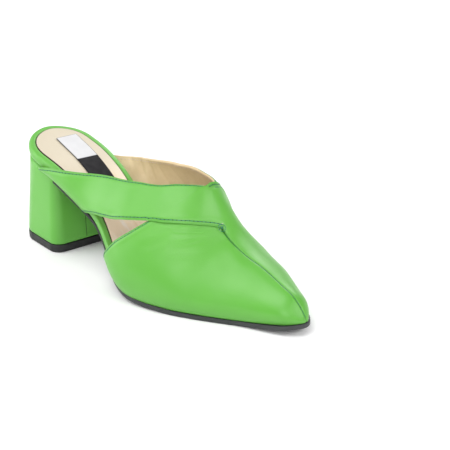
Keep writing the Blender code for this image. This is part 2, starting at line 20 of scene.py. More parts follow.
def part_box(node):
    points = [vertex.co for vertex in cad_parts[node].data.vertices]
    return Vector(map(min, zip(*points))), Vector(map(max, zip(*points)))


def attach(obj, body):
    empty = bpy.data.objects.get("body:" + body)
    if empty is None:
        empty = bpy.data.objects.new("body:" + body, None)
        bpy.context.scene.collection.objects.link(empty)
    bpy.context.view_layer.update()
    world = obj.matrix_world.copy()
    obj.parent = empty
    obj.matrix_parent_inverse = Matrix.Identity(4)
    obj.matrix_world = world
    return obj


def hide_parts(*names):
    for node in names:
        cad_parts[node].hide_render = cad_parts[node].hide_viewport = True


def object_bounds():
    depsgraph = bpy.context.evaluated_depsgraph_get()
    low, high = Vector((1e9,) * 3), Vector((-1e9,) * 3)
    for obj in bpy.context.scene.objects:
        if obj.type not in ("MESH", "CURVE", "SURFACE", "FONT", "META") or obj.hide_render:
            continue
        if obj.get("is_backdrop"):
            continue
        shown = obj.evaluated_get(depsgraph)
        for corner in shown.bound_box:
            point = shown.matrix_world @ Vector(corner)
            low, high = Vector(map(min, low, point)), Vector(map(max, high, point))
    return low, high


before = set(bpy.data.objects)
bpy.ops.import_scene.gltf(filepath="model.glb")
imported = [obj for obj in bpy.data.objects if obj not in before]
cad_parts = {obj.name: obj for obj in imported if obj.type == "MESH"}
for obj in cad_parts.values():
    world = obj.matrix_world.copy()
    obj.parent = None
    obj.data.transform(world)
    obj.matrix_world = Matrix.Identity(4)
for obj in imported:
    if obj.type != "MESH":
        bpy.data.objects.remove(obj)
CAD_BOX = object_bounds()

LOG = logging.getLogger("mule")
MM = 0.001
Array = np.ndarray
Rows = tuple[tuple[float, ...], ...]
Triple = tuple[float, float, float]
Colour = Triple
Line = tuple[Array, Array]
Level = tuple[Array, Array]
Socket = bpy.types.NodeSocket
Material = bpy.types.Material
Object = bpy.types.Object

# Wall of the upper, gap between pieces, and height of the covering leather in walls
WALL = 1.7
GAP = 0.3
LIFT_SHARE = 0.7
# How many millimetres along the shoe count as much as the whole way round it
ROUND_LENGTH = 100.0
# Spacing of points on lines that distances are measured to
LINE_PITCH = 0.4
# Distances that stand for none, to points and to the seam
FAR_AWAY = 1e4
FAR_FROM_SEAM = 50.0

# Outline of the insole from above: along, outer half width, inner half width
OUTLINE: Rows = (
    (0.0, 25.6, 19.0), (15.0, 27.0, 22.6), (35.0, 27.8, 22.8), (57.0, 28.2, 20.6), (83.0, 28.6, 17.0),
    (100.0, 35.8, 17.5), (113.0, 42.7, 20.0), (128.0, 45.0, 24.0), (140.0, 43.2, 26.8), (156.0, 39.0, 28.3),
    (175.0, 31.5, 27.3), (200.0, 19.8, 21.0), (219.0, 12.8, 12.8), (230.0, 8.9, 8.0), (236.0, 6.6, 5.0),
)
# Underside of the sole from the side: along, share of the heel rise
RISE: Rows = (
    (0.0, 1.000), (24.0, 0.904), (47.0, 0.798), (62.0, 0.682), (75.0, 0.546), (88.0, 0.393), (101.0, 0.241),
    (115.0, 0.114), (126.0, 0.045), (138.0, 0.018), (152.0, 0.008), (165.0, 0.000), (190.0, 0.000),
    (203.0, 0.008), (219.0, 0.033), (236.0, 0.075),
)
# Sections of the last: along, outer shoulder out and up, ridge out and height, inner shoulder out and up
SECTIONS: Rows = (
    (18.0, 1.06, 0.40, 0.00, 32.0, 1.10, 0.40), (45.0, 1.06, 0.42, 0.12, 38.0, 1.20, 0.42),
    (70.0, 1.02, 0.45, 0.32, 49.0, 1.50, 0.45), (95.0, 0.95, 0.48, 0.50, 63.5, 1.66, 0.52),
    (118.0, 0.89, 0.50, 0.52, 72.5, 1.46, 0.56), (135.0, 0.86, 0.49, 0.45, 74.0, 1.25, 0.52),
    (148.0, 0.86, 0.47, 0.375, 69.5, 1.10, 0.468), (156.0, 0.87, 0.47, 0.305, 61.4, 1.01, 0.450),
    (164.0, 0.89, 0.48, 0.245, 50.8, 1.035, 0.492), (172.0, 0.91, 0.50, 0.18, 42.0, 1.085, 0.552),
    (184.0, 0.94, 0.52, 0.10, 34.5, 1.075, 0.583), (202.0, 0.96, 0.55, 0.03, 27.5, 1.08, 0.61),
    (216.0, 0.98, 0.56, 0.02, 21.2, 1.04, 0.61), (228.0, 1.00, 0.58, 0.00, 14.8, 1.00, 0.60),
    (236.0, 1.00, 0.58, 0.00, 9.0, 1.00, 0.58),
)
# Edges of the leather: along, share of the way round from the outer to the inner sole line
OVER_STRAP_REAR: Rows = (
    (28.0, 0.0), (36.0, 0.105), (46.0, 0.18), (58.0, 0.236), (70.0, 0.28), (92.0, 0.338), (111.0, 0.375),
    (135.0, 0.414), (148.0, 0.456), (153.0, 0.50),
)
UNDER_STRAP_REAR: Rows = (
    (153.0, 0.5), (149.5, 0.553), (142.0, 0.592), (132.0, 0.622), (119.0, 0.652), (106.0, 0.68),
    (93.0, 0.71), (79.0, 0.754), (66.0, 0.826), (57.0, 0.886), (49.0, 0.944), (41.0, 1.0),
)
OVER_STRAP_FRONT: Rows = (
    (71.0, 0.0), (78.0, 0.082), (86.0, 0.15), (96.0, 0.211), (110.0, 0.268), (122.0, 0.30), (133.5, 0.32),
)
UNDER_STRAP_FRONT: Rows = (
    (139.0, 0.69), (129.0, 0.737), (119.0, 0.777), (110.0, 0.81), (101.0, 0.84), (93.0, 0.871),
    (85.5, 0.91), (79.0, 0.958), (74.5, 1.0),
)
VAMP_REAR_OUTER: Rows = (
    (101.0, 0.0), (105.0, 0.068), (112.5, 0.153), (118.1, 0.214), (123.4, 0.258), (128.5, 0.292),
    (133.5, 0.32),
)
VAMP_REAR_INNER: Rows = (
    (101.0, 1.0), (105.5, 0.93), (111.5, 0.868), (119.0, 0.812), (128.0, 0.757), (139.0, 0.69),
)
CROSSING_OUTER_REAR: Rows = (
    (133.5, 0.32), (143.5, 0.374), (150.5, 0.443), (153.0, 0.50),
)
CROSSING_OUTER_FRONT: Rows = (
    (133.5, 0.32), (143.6, 0.335), (152.3, 0.36), (159.5, 0.397), (165.0, 0.442), (168.0, 0.47),
)
CROSSING_INNER_REAR: Rows = (
    (153.0, 0.5), (151.5, 0.557), (146.5, 0.615), (139.0, 0.69),
)
CROSSING_INNER_FRONT: Rows = (
    (168.0, 0.47), (163.0, 0.545), (154.0, 0.615), (139.0, 0.69),
)
CENTRE_SEAM: Rows = (
    (168.0, 0.47), (184.0, 0.488), (203.0, 0.503), (218.0, 0.499), (236.0, 0.50),
)
# Plan of the heel: height share, back, breast, outer side, inner side, back corner, front corner, turn
HEEL_PLAN: Rows = (
    (0.0, 2.6, 50.5, 28.7, 25.0, 14.0, 7.5, 0.12), (0.25, 2.5, 49.7, 28.1, 24.6, 16.0, 7.2, 0.11),
    (0.6, 2.3, 48.4, 27.2, 24.0, 19.5, 6.5, 0.09), (1.0, 2.0, 47.3, 26.4, 23.2, 23.5, 5.0, 0.05),
)


def curve(rows: Rows, column: int, x: Array) -> Array:
    """Smooth curve through one column of a table.

    Args:
        rows: the table, with its stations in the first column.
        column: which column to read.
        x: stations to read it at.

    Returns:
        The values at those stations.
    """
    xs = np.array([row[0] for row in rows], float)
    ys = np.array([row[column] for row in rows], float)
    return through(xs, ys, x)


def through(xs: Array, ys: Array, x: Array) -> Array:
    """Smooth curve through points, level beside a level stretch.

    Args:
        xs: rising stations.
        ys: values at the stations.
        x: where to read the curve.

    Returns:
        The values there.
    """
    x = np.clip(np.asarray(x, float), xs[0], xs[-1])
    step = np.diff(xs)
    rise = np.diff(ys) / step
    slope = np.empty_like(ys)
    slope[0], slope[-1] = rise[0], rise[-1]
    slope[1:-1] = (rise[:-1] * step[1:] + rise[1:] * step[:-1]) / (step[1:] + step[:-1])
    slope[1:-1] = np.where((rise[:-1] == 0) | (rise[1:] == 0), 0.0, slope[1:-1])
    i = np.clip(np.searchsorted(xs, x) - 1, 0, len(xs) - 2)
    t = (x - xs[i]) / step[i]
    start = (1 + 2 * t) * (1 - t) ** 2 * ys[i] + t * (1 - t) ** 2 * step[i] * slope[i]
    end = t * t * (3 - 2 * t) * ys[i + 1] + t * t * (t - 1) * step[i] * slope[i + 1]
    return start + end


def ease(t: Array) -> Array:
    """Soft step from 0 to 1."""
    t = np.clip(t, 0.0, 1.0)
    return t * t * (3 - 2 * t)


def unit(v: Array) -> Array:
    """Vectors of length one."""
    return v / np.maximum(np.linalg.norm(v, axis=-1, keepdims=True), 1e-9)


@dataclass(frozen=True)
class ShoeLast:
    """The last that the leather is drawn over, with the sole line under it, in millimetres."""

    length: float = 236.0
    heel_rise: float = 61.9
    outsole_thick: float = 3.3
    heel_end: float = 27.0
    toe_end: float = 9.0
    toe_run: float = 36.0
    nose: float = 14.0
    rim_thick: float = 7.3
    fore_thick: float = 3.2
    fore_start: float = 100.0
    fore_run: float = 40.0
    heel_power: float = 2.3
    nose_power: float = 2.6
    most_stretch: float = 1.7
    sole_ease: float = 0.12
    toe_ease: float = 14.0

    def sole_top(self, x: Array) -> Array:
        """Height of the top of the outsole."""
        return curve(RISE, 1, x) * self.heel_rise + self.outsole_thick

    def board_thick(self, x: Array) -> Array:
        """Thickness of the covered insole, thin under the vamp."""
        thinned = ease((x - self.fore_start) / self.fore_run)
        return self.rim_thick - (self.rim_thick - self.fore_thick) * thinned

    def rounding(self, x: Array, grow: float) -> Array:
        """Share of the full width that the outline keeps near its two ends.

        Args:
            x: stations along the shoe.
            grow: how far the outline is grown outwards.

        Returns:
            Shares from 0 at the very end to 1.
        """
        back = np.clip(1 - (x + grow) / (self.heel_end + grow), 0, 1)
        front = np.clip((x - self.length + self.toe_end) / (self.toe_end + grow), 0, 1)
        heel = np.sqrt(np.clip(1 - back ** self.heel_power, 0, 1))
        return heel * np.sqrt(np.clip(1 - front ** 2, 0, 1))

    def outline(self, x: Array, grow: float = 0.0) -> tuple[Array, Array]:
        """Outer and inner side of the insole outline."""
        share = self.rounding(x, grow)
        return -(curve(OUTLINE, 1, x) + grow) * share, (curve(OUTLINE, 2, x) + grow) * share

    def around(self, values: Sequence[Array], share: Array) -> Array:
        """Smooth curve through five points evenly spaced round a section.

        Args:
            values: the five values.
            share: share of the way round, 0 to 1.

        Returns:
            The value at each share.
        """
        tangent = [0 * values[0]] * 5
        for k in (1, 2, 3):
            tangent[k] = (values[k + 1] - values[k - 1]) / 2
        tangent[0] = 2 * (values[1] - values[0]) - tangent[1]
        tangent[4] = 2 * (values[4] - values[3]) - tangent[3]
        scaled = np.clip(share * 4, 0, 4)
        i = np.clip(scaled.astype(int), 0, 3)
        t = scaled - i
        result = np.zeros_like(share)
        for k in range(4):
            piece = (1 + 2 * t) * (1 - t) ** 2 * values[k] + t * (1 - t) ** 2 * tangent[k]
            piece = piece + t * t * (3 - 2 * t) * values[k + 1] + t * t * (t - 1) * tangent[k + 1]
            result = np.where(i == k, piece, result)
        return result

    def face(self, x: Array, share: Array, grow: float) -> Array:
        """Points of the last.

        Args:
            x: stations along the shoe.
            share: shares of the way round, from the outer to the inner sole line.
            grow: how far the last is grown.

        Returns:
            The points.
        """
        x, share = np.broadcast_arrays(np.asarray(x, float), np.asarray(share, float))
        total = WALL + grow
        reach = x + total * ease((x - self.length + self.toe_run) / self.toe_run)
        outer, inner = self.outline(reach, total)
        middle, half = (outer + inner) / 2, (inner - outer) / 2
        rows = [curve(SECTIONS, k, x) for k in range(1, 7)]
        nose = np.clip((reach - self.length + self.nose) / (self.nose + total), 0, 1)
        height = (rows[3] + grow) * np.sqrt(np.clip(1 - nose ** self.nose_power, 0, 1))
        across = (outer, middle - rows[0] * half, middle + rows[2] * half, middle + rows[4] * half, inner)
        upward = (0 * height, rows[1] * height, height, rows[5] * height, 0 * height)
        z = self.sole_top(reach) + GAP + self.around(upward, share)
        return np.stack([reach, self.around(across, share), z], -1)

    def leather(self, x: Array, share: Array, level: Array) -> Array:
        """Points of the leather at a level above the finished face of the last.

        Args:
            x: stations along the shoe.
            share: shares of the way round.
            level: height above the face in millimetres, measured square to it.

        Returns:
            The points.
        """
        x, share = np.broadcast_arrays(np.asarray(x, float), np.asarray(share, float))
        face = self.face(x, share, 0.0)
        push = self.face(x, share, 0.5) - self.face(x, share, -0.5)
        inward = np.clip(x, 1.0, self.length - 1.0)
        inside = np.clip(share, 0.01, 0.99)
        along = self.face(inward + 0.5, inside, 0.0) - self.face(inward - 0.5, inside, 0.0)
        side = self.face(inward, inside + 0.005, 0.0) - self.face(inward, inside - 0.005, 0.0)
        facing = np.abs((unit(np.cross(side, along)) * push).sum(-1))
        stretch = np.clip(1 / np.maximum(facing, 0.5), 1.0, self.most_stretch)
        edge = ease(np.minimum(share, 1 - share) / self.sole_ease) * ease((self.length - x) / self.toe_ease)
        stretch = 1 + (stretch - 1) * edge
        return face + push * (np.asarray(level) * stretch)[..., None]

    def shift(self) -> Array:
        """Move from the shoe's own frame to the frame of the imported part.

        Returns:
            The move in millimetres.
        """
        x = np.linspace(0, self.length, 4000)
        outer, inner = self.outline(x, -GAP)
        low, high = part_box("covered_insole")
        across = (low[1] + high[1]) / 2 / MM - (outer.min() + inner.max()) / 2
        return np.array([low[0] / MM - GAP, across, 0.0])


LAST = ShoeLast()
SHIFT = LAST.shift()


def marked(rows: Rows, marks: Array) -> Array:
    """Places on the last at marks along the curve through a table.

    Args:
        rows: the table of stations and shares.
        marks: marks from 0 to 1.

    Returns:
        Places as (marks, 2).
    """
    table = np.array(rows, float)
    spans = np.hypot(np.diff(table[:, 0]) / ROUND_LENGTH, np.diff(table[:, 1]))
    at = np.concatenate([[0.0], np.cumsum(spans)])
    s = at[-1] * marks
    return np.stack([through(at, table[:, 0], s), through(at, table[:, 1], s)], -1)


def shares_along(line: Array) -> Array:
    """Share of a line's length at each of its places on the last.

    Args:
        line: the places.

    Returns:
        Shares from 0 to 1.
    """
    spans = np.linalg.norm(np.diff(line, axis=0) / (ROUND_LENGTH, 1.0), axis=1)
    lengths = np.concatenate([[0], np.cumsum(spans)])
    return lengths / lengths[-1]


def filled(near: Array, far: Array, left: Array, right: Array) -> Array:
    """Grid between four curves that meet at their ends.

    Args:
        near: the curve across the start.
        far: the curve across the end.
        left: the first curve along.
        right: the second curve along.

    Returns:
        Places as (rows, columns, 2).
    """
    v, u = shares_along(left)[:, None, None], shares_along(near)[None, :, None]
    grid = (1 - v) * near[None] + v * far[None] + (1 - u) * left[:, None] + u * right[:, None]
    corner = (1 - u) * (1 - v) * near[0] + u * (1 - v) * near[-1]
    return grid - corner - (1 - u) * v * far[0] - u * v * far[-1]


@dataclass
class MeshDraft:
    """Points, faces and point values of a mesh in the making, in millimetres."""

    points: list[Array] = field(default_factory=list)
    faces: list[tuple[int, ...]] = field(default_factory=list)
    slots: list[int] = field(default_factory=list)
    values: dict[str, list[float]] = field(default_factory=dict)

    def add(self, points: Iterable[Array], faces: Iterable[Sequence[int]], slot: int = 0) -> int:
        """Adds a shape.

        Args:
            points: its points.
            faces: its faces, counted from its own first point.
            slot: material slot of its faces.

        Returns:
            The place of its first point.
        """
        first = len(self.points)
        self.points.extend(np.asarray(p, float) for p in points)
        for face in faces:
            self.add_face([int(k) + first for k in face], slot)
        return first

    def add_face(self, corners: Iterable[int], slot: int) -> None:
        """Adds a face, unless its corners fall together.

        Args:
            corners: places of its points.
            slot: its material slot.
        """
        kept = tuple(dict.fromkeys(corners))
        if len(kept) > 2:
            self.faces.append(kept)
            self.slots.append(slot)

    def finish(self, name: str, materials: Sequence[Material], sharp: float = 180.0) -> Object:
        """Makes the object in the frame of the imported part.

        Args:
            name: its name.
            materials: its material slots.
            sharp: angle in degrees over which an edge stays sharp.

        Returns:
            The object, riding on the part's one body.
        """
        mesh = bpy.data.meshes.new(name)
        placed = (np.array(self.points) + SHIFT) * MM
        mesh.from_pydata(placed.tolist(), [], self.faces)
        for material in materials:
            mesh.materials.append(material)
        mesh.polygons.foreach_set("material_index", self.slots)
        for key, values in self.values.items():
            layer = mesh.attributes.new(key, "FLOAT", "POINT")
            layer.data.foreach_set("value", np.asarray(values, np.float32))
        mesh.update()
        mesh.shade_smooth()
        if sharp < 180:
            mesh.set_sharp_from_angle(angle=math.radians(sharp))
        item = bpy.data.objects.new(name, mesh)
        bpy.context.scene.collection.objects.link(item)
        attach(item, "root")
        return item


def rings_shape(rings: Sequence[Array], caps: bool = True) -> tuple[list[Array], list[list[int]]]:
    """Skin over rings with as many points each.

    Args:
        rings: the rings, each (n, 3).
        caps: whether the first and last ring are filled.

    Returns:
        Points and faces.
    """
    count = len(rings[0])
    faces: list[list[int]] = []
    for k in range(len(rings) - 1):
        for i in range(count):
            j = (i + 1) % count
            faces.append([k * count + i, k * count + j, (k + 1) * count + j, (k + 1) * count + i])
    if caps:
        last = (len(rings) - 1) * count
        faces.append(list(range(count))[::-1])
        faces.append([last + i for i in range(count)])
    return [p for ring in rings for p in ring], faces


def circle(middle: Array, first: Array, second: Array, radius: float, sides: int) -> Array:
    """Points round a middle."""
    turns = np.linspace(0, 2 * math.pi, sides + 1)[:-1, None]
    return middle + radius * (first * np.cos(turns) + second * np.sin(turns))


class Side(Enum):
    """The four sides of a grid of leather."""

    FIRST_ROW = "first row"
    LAST_ROW = "last row"
    FIRST_COLUMN = "first column"
    LAST_COLUMN = "last column"


class EdgeKind(Enum):
    """How a side of the leather is closed."""

    FOLDED = "folded"
    SOLE = "sole"
    BUTTED = "butted"


# How far each kind of edge stands out, in millimetres
BULGE = {EdgeKind.FOLDED: 0.65, EdgeKind.SOLE: 0.15, EdgeKind.BUTTED: 0.0}


@dataclass(frozen=True)
class Border:
    """A stretch of one side of a grid that is closed with a wall.

    Attributes:
        side: which side.
        kind: how it is closed.
        start: the first point of the stretch.
        stop: the point after the last one, or None for the rest of the side.
        reach: how much less far round it the outer leather goes.
    """

    side: Side
    kind: EdgeKind
    start: int = 0
    stop: Optional[int] = None
    reach: float = 1.0


REAR_EDGE = Border(Side.FIRST_COLUMN, EdgeKind.FOLDED)
FRONT_EDGE = Border(Side.LAST_COLUMN, EdgeKind.FOLDED)
FIRST_EDGE = Border(Side.FIRST_ROW, EdgeKind.FOLDED)
LAST_EDGE = Border(Side.LAST_ROW, EdgeKind.FOLDED)


@dataclass(frozen=True)
class Crease:
    """A soft fold in the leather.

    Attributes:
        line: places on the last along the fold.
        depth: depth of the trough in millimetres, negative for a ridge.
        width: half width of the trough in millimetres.
        lining: whether it is in the lining instead of the outer face.
        fading: share of the line over which each end fades.
    """

    line: Rows
    depth: float
    width: float
    lining: bool = False
    fading: float = 0.35

    def fold(self, face: Array) -> Array:
        """Depth of the fold, a trough with a low ridge beside it.

        Args:
            face: points of the leather.

        Returns:
            Depth at each point.
        """
        away, along = near_line(face, on_last(self.line, 61))
        trough = np.exp(-(away / self.width) ** 2)
        trough -= 0.5 * np.exp(-((away - 2.0 * self.width) / (0.9 * self.width)) ** 2)
        return self.depth * trough * ease(np.minimum(along, 1 - along) / self.fading)


# Soft folds of the vamp, fanning out from the crossing
VAMP_CREASES: tuple[Crease, ...] = (
    Crease(((165.9, 0.438), (163.0, 0.406), (157.3, 0.363), (151.9, 0.336), (146.8, 0.322)), 0.34, 0.75),
    Crease(((164.6, 0.415), (159.8, 0.363), (154.8, 0.324), (150.3, 0.292)), 0.55, 3.6),
    Crease(((165.2, 0.4), (160.9, 0.356), (156.6, 0.322), (151.8, 0.291)), 0.16, 1.0),
    Crease(((161.0, 0.395), (156.4, 0.364), (150.7, 0.341)), 0.14, 0.6),
    Crease(((164.3, 0.354), (158.7, 0.307), (151.7, 0.265), (144.1, 0.237)), 0.22, 3.0),
    Crease(((168.0, 0.443), (167.8, 0.416), (167.0, 0.389)), 0.14, 0.9),
    Crease(((150.2, 0.314), (145.3, 0.285), (139.4, 0.259), (132.4, 0.239)), 0.2, 2.4),
    Crease(((175.7, 0.445), (184.7, 0.44), (192.3, 0.395)), -0.25, 4.0),
    Crease(((185.8, 0.246), (176.3, 0.206), (165.4, 0.194)), 0.3, 5.0),
)
# Wrinkles of the lining inside the straps, near their heel ends
LINING_CREASES: tuple[Crease, ...] = (
    Crease(((62.0, 0.790), (66.0, 0.860), (74.0, 0.930)), 0.45, 1.2, True),
    Crease(((70.0, 0.765), (75.0, 0.835), (82.0, 0.900)), 0.40, 1.1, True),
    Crease(((79.0, 0.745), (84.0, 0.805), (92.0, 0.860)), 0.32, 1.0, True),
    Crease(((55.0, 0.850), (60.0, 0.905), (66.0, 0.960)), 0.40, 1.2, True),
    Crease(((90.0, 0.720), (96.0, 0.770), (104.0, 0.800)), 0.20, 1.2, True),
)


def near_line(points: Array, line: Array) -> tuple[Array, Array]:
    """Distance of points to a line, and where along the line they are nearest.

    Args:
        points: points in the last axis.
        line: the line's points, close together.

    Returns:
        Distances, and places along the line from 0 to 1.
    """
    tree = KDTree(len(line))
    for k, place in enumerate(line):
        tree.insert(place, k)
    tree.balance()
    flat = points.reshape(-1, 3)
    found = [tree.find(p)[1:] for p in flat]
    away = np.array([f[1] for f in found]).reshape(points.shape[:-1])
    along = np.array([f[0] for f in found]).reshape(points.shape[:-1]) / max(len(line) - 1, 1)
    return away, along


def resampled(line: Array, pitch: float) -> tuple[Array, Array]:
    """Evenly spaced points along a line.

    Args:
        line: points of the line.
        pitch: spacing in millimetres.

    Returns:
        The points, and their fractional places in the line.
    """
    length = np.concatenate([[0], np.cumsum(np.linalg.norm(np.diff(line, axis=0), axis=1))])
    count = max(int(round(length[-1] / pitch)), 1)
    at = np.linspace(0, length[-1], count + 1)
    index = np.interp(at, length, np.arange(len(line)))
    return pick(line, index), index


def pick(line: Array, index: Array) -> Array:
    """Values between the points of a line.

    Args:
        line: values along the line.
        index: fractional places.

    Returns:
        The values there.
    """
    low = np.clip(np.floor(index).astype(int), 0, len(line) - 2)
    part = (index - low)[:, None]
    return line[low] * (1 - part) + line[low + 1] * part


def on_last(rows: Rows, count: int) -> Array:
    """Close points on the last's finished face along the curve through a table."""
    line = marked(rows, np.linspace(0, 1, count))
    return resampled(LAST.leather(line[:, 0], line[:, 1], 0.0), LINE_PITCH)[0]


@dataclass
class LeatherPatch:
    """Leather over a grid of places on the last.

    Attributes:
        grid: stations and shares as (rows, columns, 2).
        lift: height of the outer face above the last's finished face, in walls.
        thick: thickness in walls.
        borders: the stretches of its sides that are closed here.
        raised: extra height of both faces in millimetres.
        top: points of the outer face.
        under: points of the lining.
        normals: directions square to the outer face.
        edge: distance to the folded edges.
        seam: distance to the centre seam.
    """

    grid: Array
    lift: Array
    thick: Array
    borders: tuple[Border, ...]
    raised: Array
    top: Array = field(init=False)
    under: Array = field(init=False)
    normals: Array = field(init=False)
    edge: Array = field(init=False)
    seam: Array = field(init=False)

    def level_face(self) -> Array:
        """Points of the outer face without any relief."""
        return LAST.leather(self.grid[..., 0], self.grid[..., 1], self.lift * WALL)

    def shape(self, relief: Array, inner_relief: Array) -> None:
        """Works out the two faces.

        Args:
            relief: height added to the outer face in millimetres.
            inner_relief: height added to the lining in millimetres.
        """
        x, share = self.grid[..., 0], self.grid[..., 1]
        high = self.lift * WALL + self.raised
        self.top = LAST.leather(x, share, high + relief)
        self.under = LAST.leather(x, share, high - self.thick * WALL + inner_relief)
        along, around = np.gradient(self.top, axis=0), np.gradient(self.top, axis=1)
        self.normals = unit(np.cross(around, along))

    def line(self, values: Array, border: Border, depth: int = 0) -> Array:
        """Values along a border, or along a line of the grid further in."""
        return self.inward(values, border)[:, depth]

    def inward(self, values: Array, border: Border) -> Array:
        """Values of the grid lines that run inwards from a border.

        Args:
            values: values over the grid.
            border: the border.

        Returns:
            The values as (along the border, inwards).
        """
        turned = values if border.side in (Side.FIRST_ROW, Side.LAST_ROW) else np.swapaxes(values, 0, 1)
        turned = turned[::-1] if border.side in (Side.LAST_ROW, Side.LAST_COLUMN) else turned
        return np.swapaxes(turned, 0, 1)[border.start:border.stop]


@dataclass
class LeatherBody:
    """Leather made of patches that share their edges, with folded edges and a lining.

    Attributes:
        name: the piece's name.
        patches: its patches.
        creases: folds in it.
        folded_green: share of the way round a folded edge that the outer leather reaches.
        channel_inset: distance of the stitch channel from the edge.
        edge_relief: relief beside a folded edge, each with distance, height and half width.
        seam_relief: depth and half width of the groove of the seam.
        hem: number of strips round a folded edge.
        pitch: spacing of points along an edge that distances are measured to.
        search: grid lines in from an edge among which the stitch channel lies.
    """

    name: str
    patches: list[LeatherPatch]
    creases: tuple[Crease, ...] = ()
    folded_green: float = 0.62
    channel_inset: float = 1.05
    edge_relief: Rows = ((0.0, -0.40, 0.55), (1.05, -0.20, 0.42), (2.9, 0.16, 1.4))
    seam_relief: tuple[float, float] = (-0.50, 0.55)
    hem: int = 7
    pitch: float = 0.35
    search: int = 60

    def edge_lines(self, kind: EdgeKind) -> Array:
        """Close points along all borders of a kind.

        Args:
            kind: the kind of border.

        Returns:
            The points.
        """
        lines = []
        for patch in self.patches:
            face = patch.level_face()
            for border in patch.borders:
                if border.kind is kind:
                    lines.append(resampled(patch.line(face, border), self.pitch)[0])
        return np.concatenate(lines) if lines else np.full((1, 3), FAR_AWAY)

    def shape(self) -> None:
        """Shapes all patches with their rolled edges, stitch channels, seam groove and creases."""
        free, seam = self.edge_lines(EdgeKind.FOLDED), self.edge_lines(EdgeKind.BUTTED)
        for patch in self.patches:
            face = patch.level_face()
            patch.edge, patch.seam = near_line(face, free)[0], near_line(face, seam)[0]
            depth, groove = self.seam_relief
            relief = depth * np.exp(-(patch.seam / groove) ** 2)
            for place, height, width in self.edge_relief:
                relief += height * np.exp(-((patch.edge - place) / width) ** 2)
            inner = np.zeros_like(relief)
            for crease in self.creases:
                fold = crease.fold(face)
                inner += fold * crease.lining
                relief -= fold * (not crease.lining)
            patch.shape(relief, inner)

    def build(self, outer: Material, lining: Material) -> Object:
        """Builds the mesh.

        Args:
            outer: material of the outer face.
            lining: material of the inner face.

        Returns:
            The object.
        """
        draft = MeshDraft(values={"edge_mm": [], "seam_mm": []})
        known: dict[tuple[int, int, int], int] = {}

        def place(patch: LeatherPatch, cell: tuple[int, int], face: int) -> int:
            """Point of a cell on the outer face, 0, or the lining, 1."""
            x, share = patch.grid[cell]
            key = (int(round(x * 500)), int(round(share * 50000)), face)
            if key not in known:
                known[key] = draft.add([(patch.under if face else patch.top)[cell]], [])
                draft.values["edge_mm"].append(float(patch.edge[cell]))
                draft.values["seam_mm"].append(float(patch.seam[cell]))
            return known[key]

        for patch in self.patches:
            rows, columns = patch.grid.shape[:2]
            for i, j in itertools.product(range(rows - 1), range(columns - 1)):
                cells = ((i, j), (i, j + 1), (i + 1, j + 1), (i + 1, j))
                for face, order in ((0, cells), (1, cells[::-1])):
                    draft.add_face([place(patch, cell, face) for cell in order], face)
            for border in patch.borders:
                self.close(draft, patch, border, place)
        return draft.finish(self.name, (outer, lining))

    def close(self, draft: MeshDraft, patch: LeatherPatch, border: Border,
              place: Callable[[LeatherPatch, tuple[int, int], int], int]) -> None:
        """Closes a border with a rounded strip from the outer face to the lining.

        Args:
            draft: the mesh in the making, with its distances to the folded edge and to the seam.
            patch: the patch.
            border: the border.
            place: gives the point of a cell on a face.
        """
        cells = np.stack(np.indices(patch.grid.shape[:2]), -1)
        line = [tuple(int(v) for v in cell) for cell in patch.line(cells, border)]
        top, under = patch.line(patch.top, border), patch.line(patch.under, border)
        outward = top - patch.line(patch.top, border, 1)
        for direction in (unit(np.gradient(top, axis=0)), unit(top - under)):
            outward -= direction * (outward * direction).sum(-1, keepdims=True)
        outward = unit(outward)
        folded = border.kind is EdgeKind.FOLDED
        steps = self.hem if folded else 2
        middle, half = (top + under) / 2, (top - under) / 2
        strips = [[place(patch, cell, 0) for cell in line]]
        for k in range(1, steps):
            turn = math.pi * k / steps
            ring = middle + half * math.cos(turn) + outward * BULGE[border.kind] * math.sin(turn)
            first = draft.add(ring, [])
            draft.values["edge_mm"].extend([0.0] * len(ring))
            away = 0.0 if border.kind is EdgeKind.BUTTED else FAR_FROM_SEAM
            draft.values["seam_mm"].extend([away] * len(ring))
            strips.append([first + n for n in range(len(ring))])
        strips.append([place(patch, cell, 1) for cell in line])
        turned = border.side in (Side.LAST_ROW, Side.FIRST_COLUMN)
        for k, (above, below) in enumerate(zip(strips, strips[1:])):
            lined = folded and (k + 1) / steps > self.folded_green * border.reach
            for n in range(len(line) - 1):
                corners = (above[n], below[n], below[n + 1], above[n + 1])
                draft.add_face(corners[::-1] if turned else corners, int(lined))

    def row_line(self, patch: LeatherPatch, border: Border, lining: bool = False) -> Line:
        """Line of the stitch channel along a border.

        Args:
            patch: the patch.
            border: the border.
            lining: whether it runs over the lining.

        Returns:
            Points of the line and the directions square to the leather.
        """
        flat, inset = patch.level_face(), self.channel_inset
        own = resampled(patch.line(flat, border), self.pitch)[0]
        away = near_line(patch.inward(flat, border)[:, :self.search], own)[0]
        points = patch.inward(patch.under if lining else patch.top, border)
        normals = patch.inward(patch.normals, border)
        line, square = [], []
        for k, distances in enumerate(away):
            beyond = np.nonzero(distances >= inset)[0]
            if len(beyond) and beyond[0] > 0:
                n = int(beyond[0])
                part = (inset - distances[n - 1]) / max(distances[n] - distances[n - 1], 1e-6)
                line.append(points[k, n - 1] * (1 - part) + points[k, n] * part)
                square.append(normals[k, n])
        return np.array(line), np.array(square) * (-1 if lining else 1)


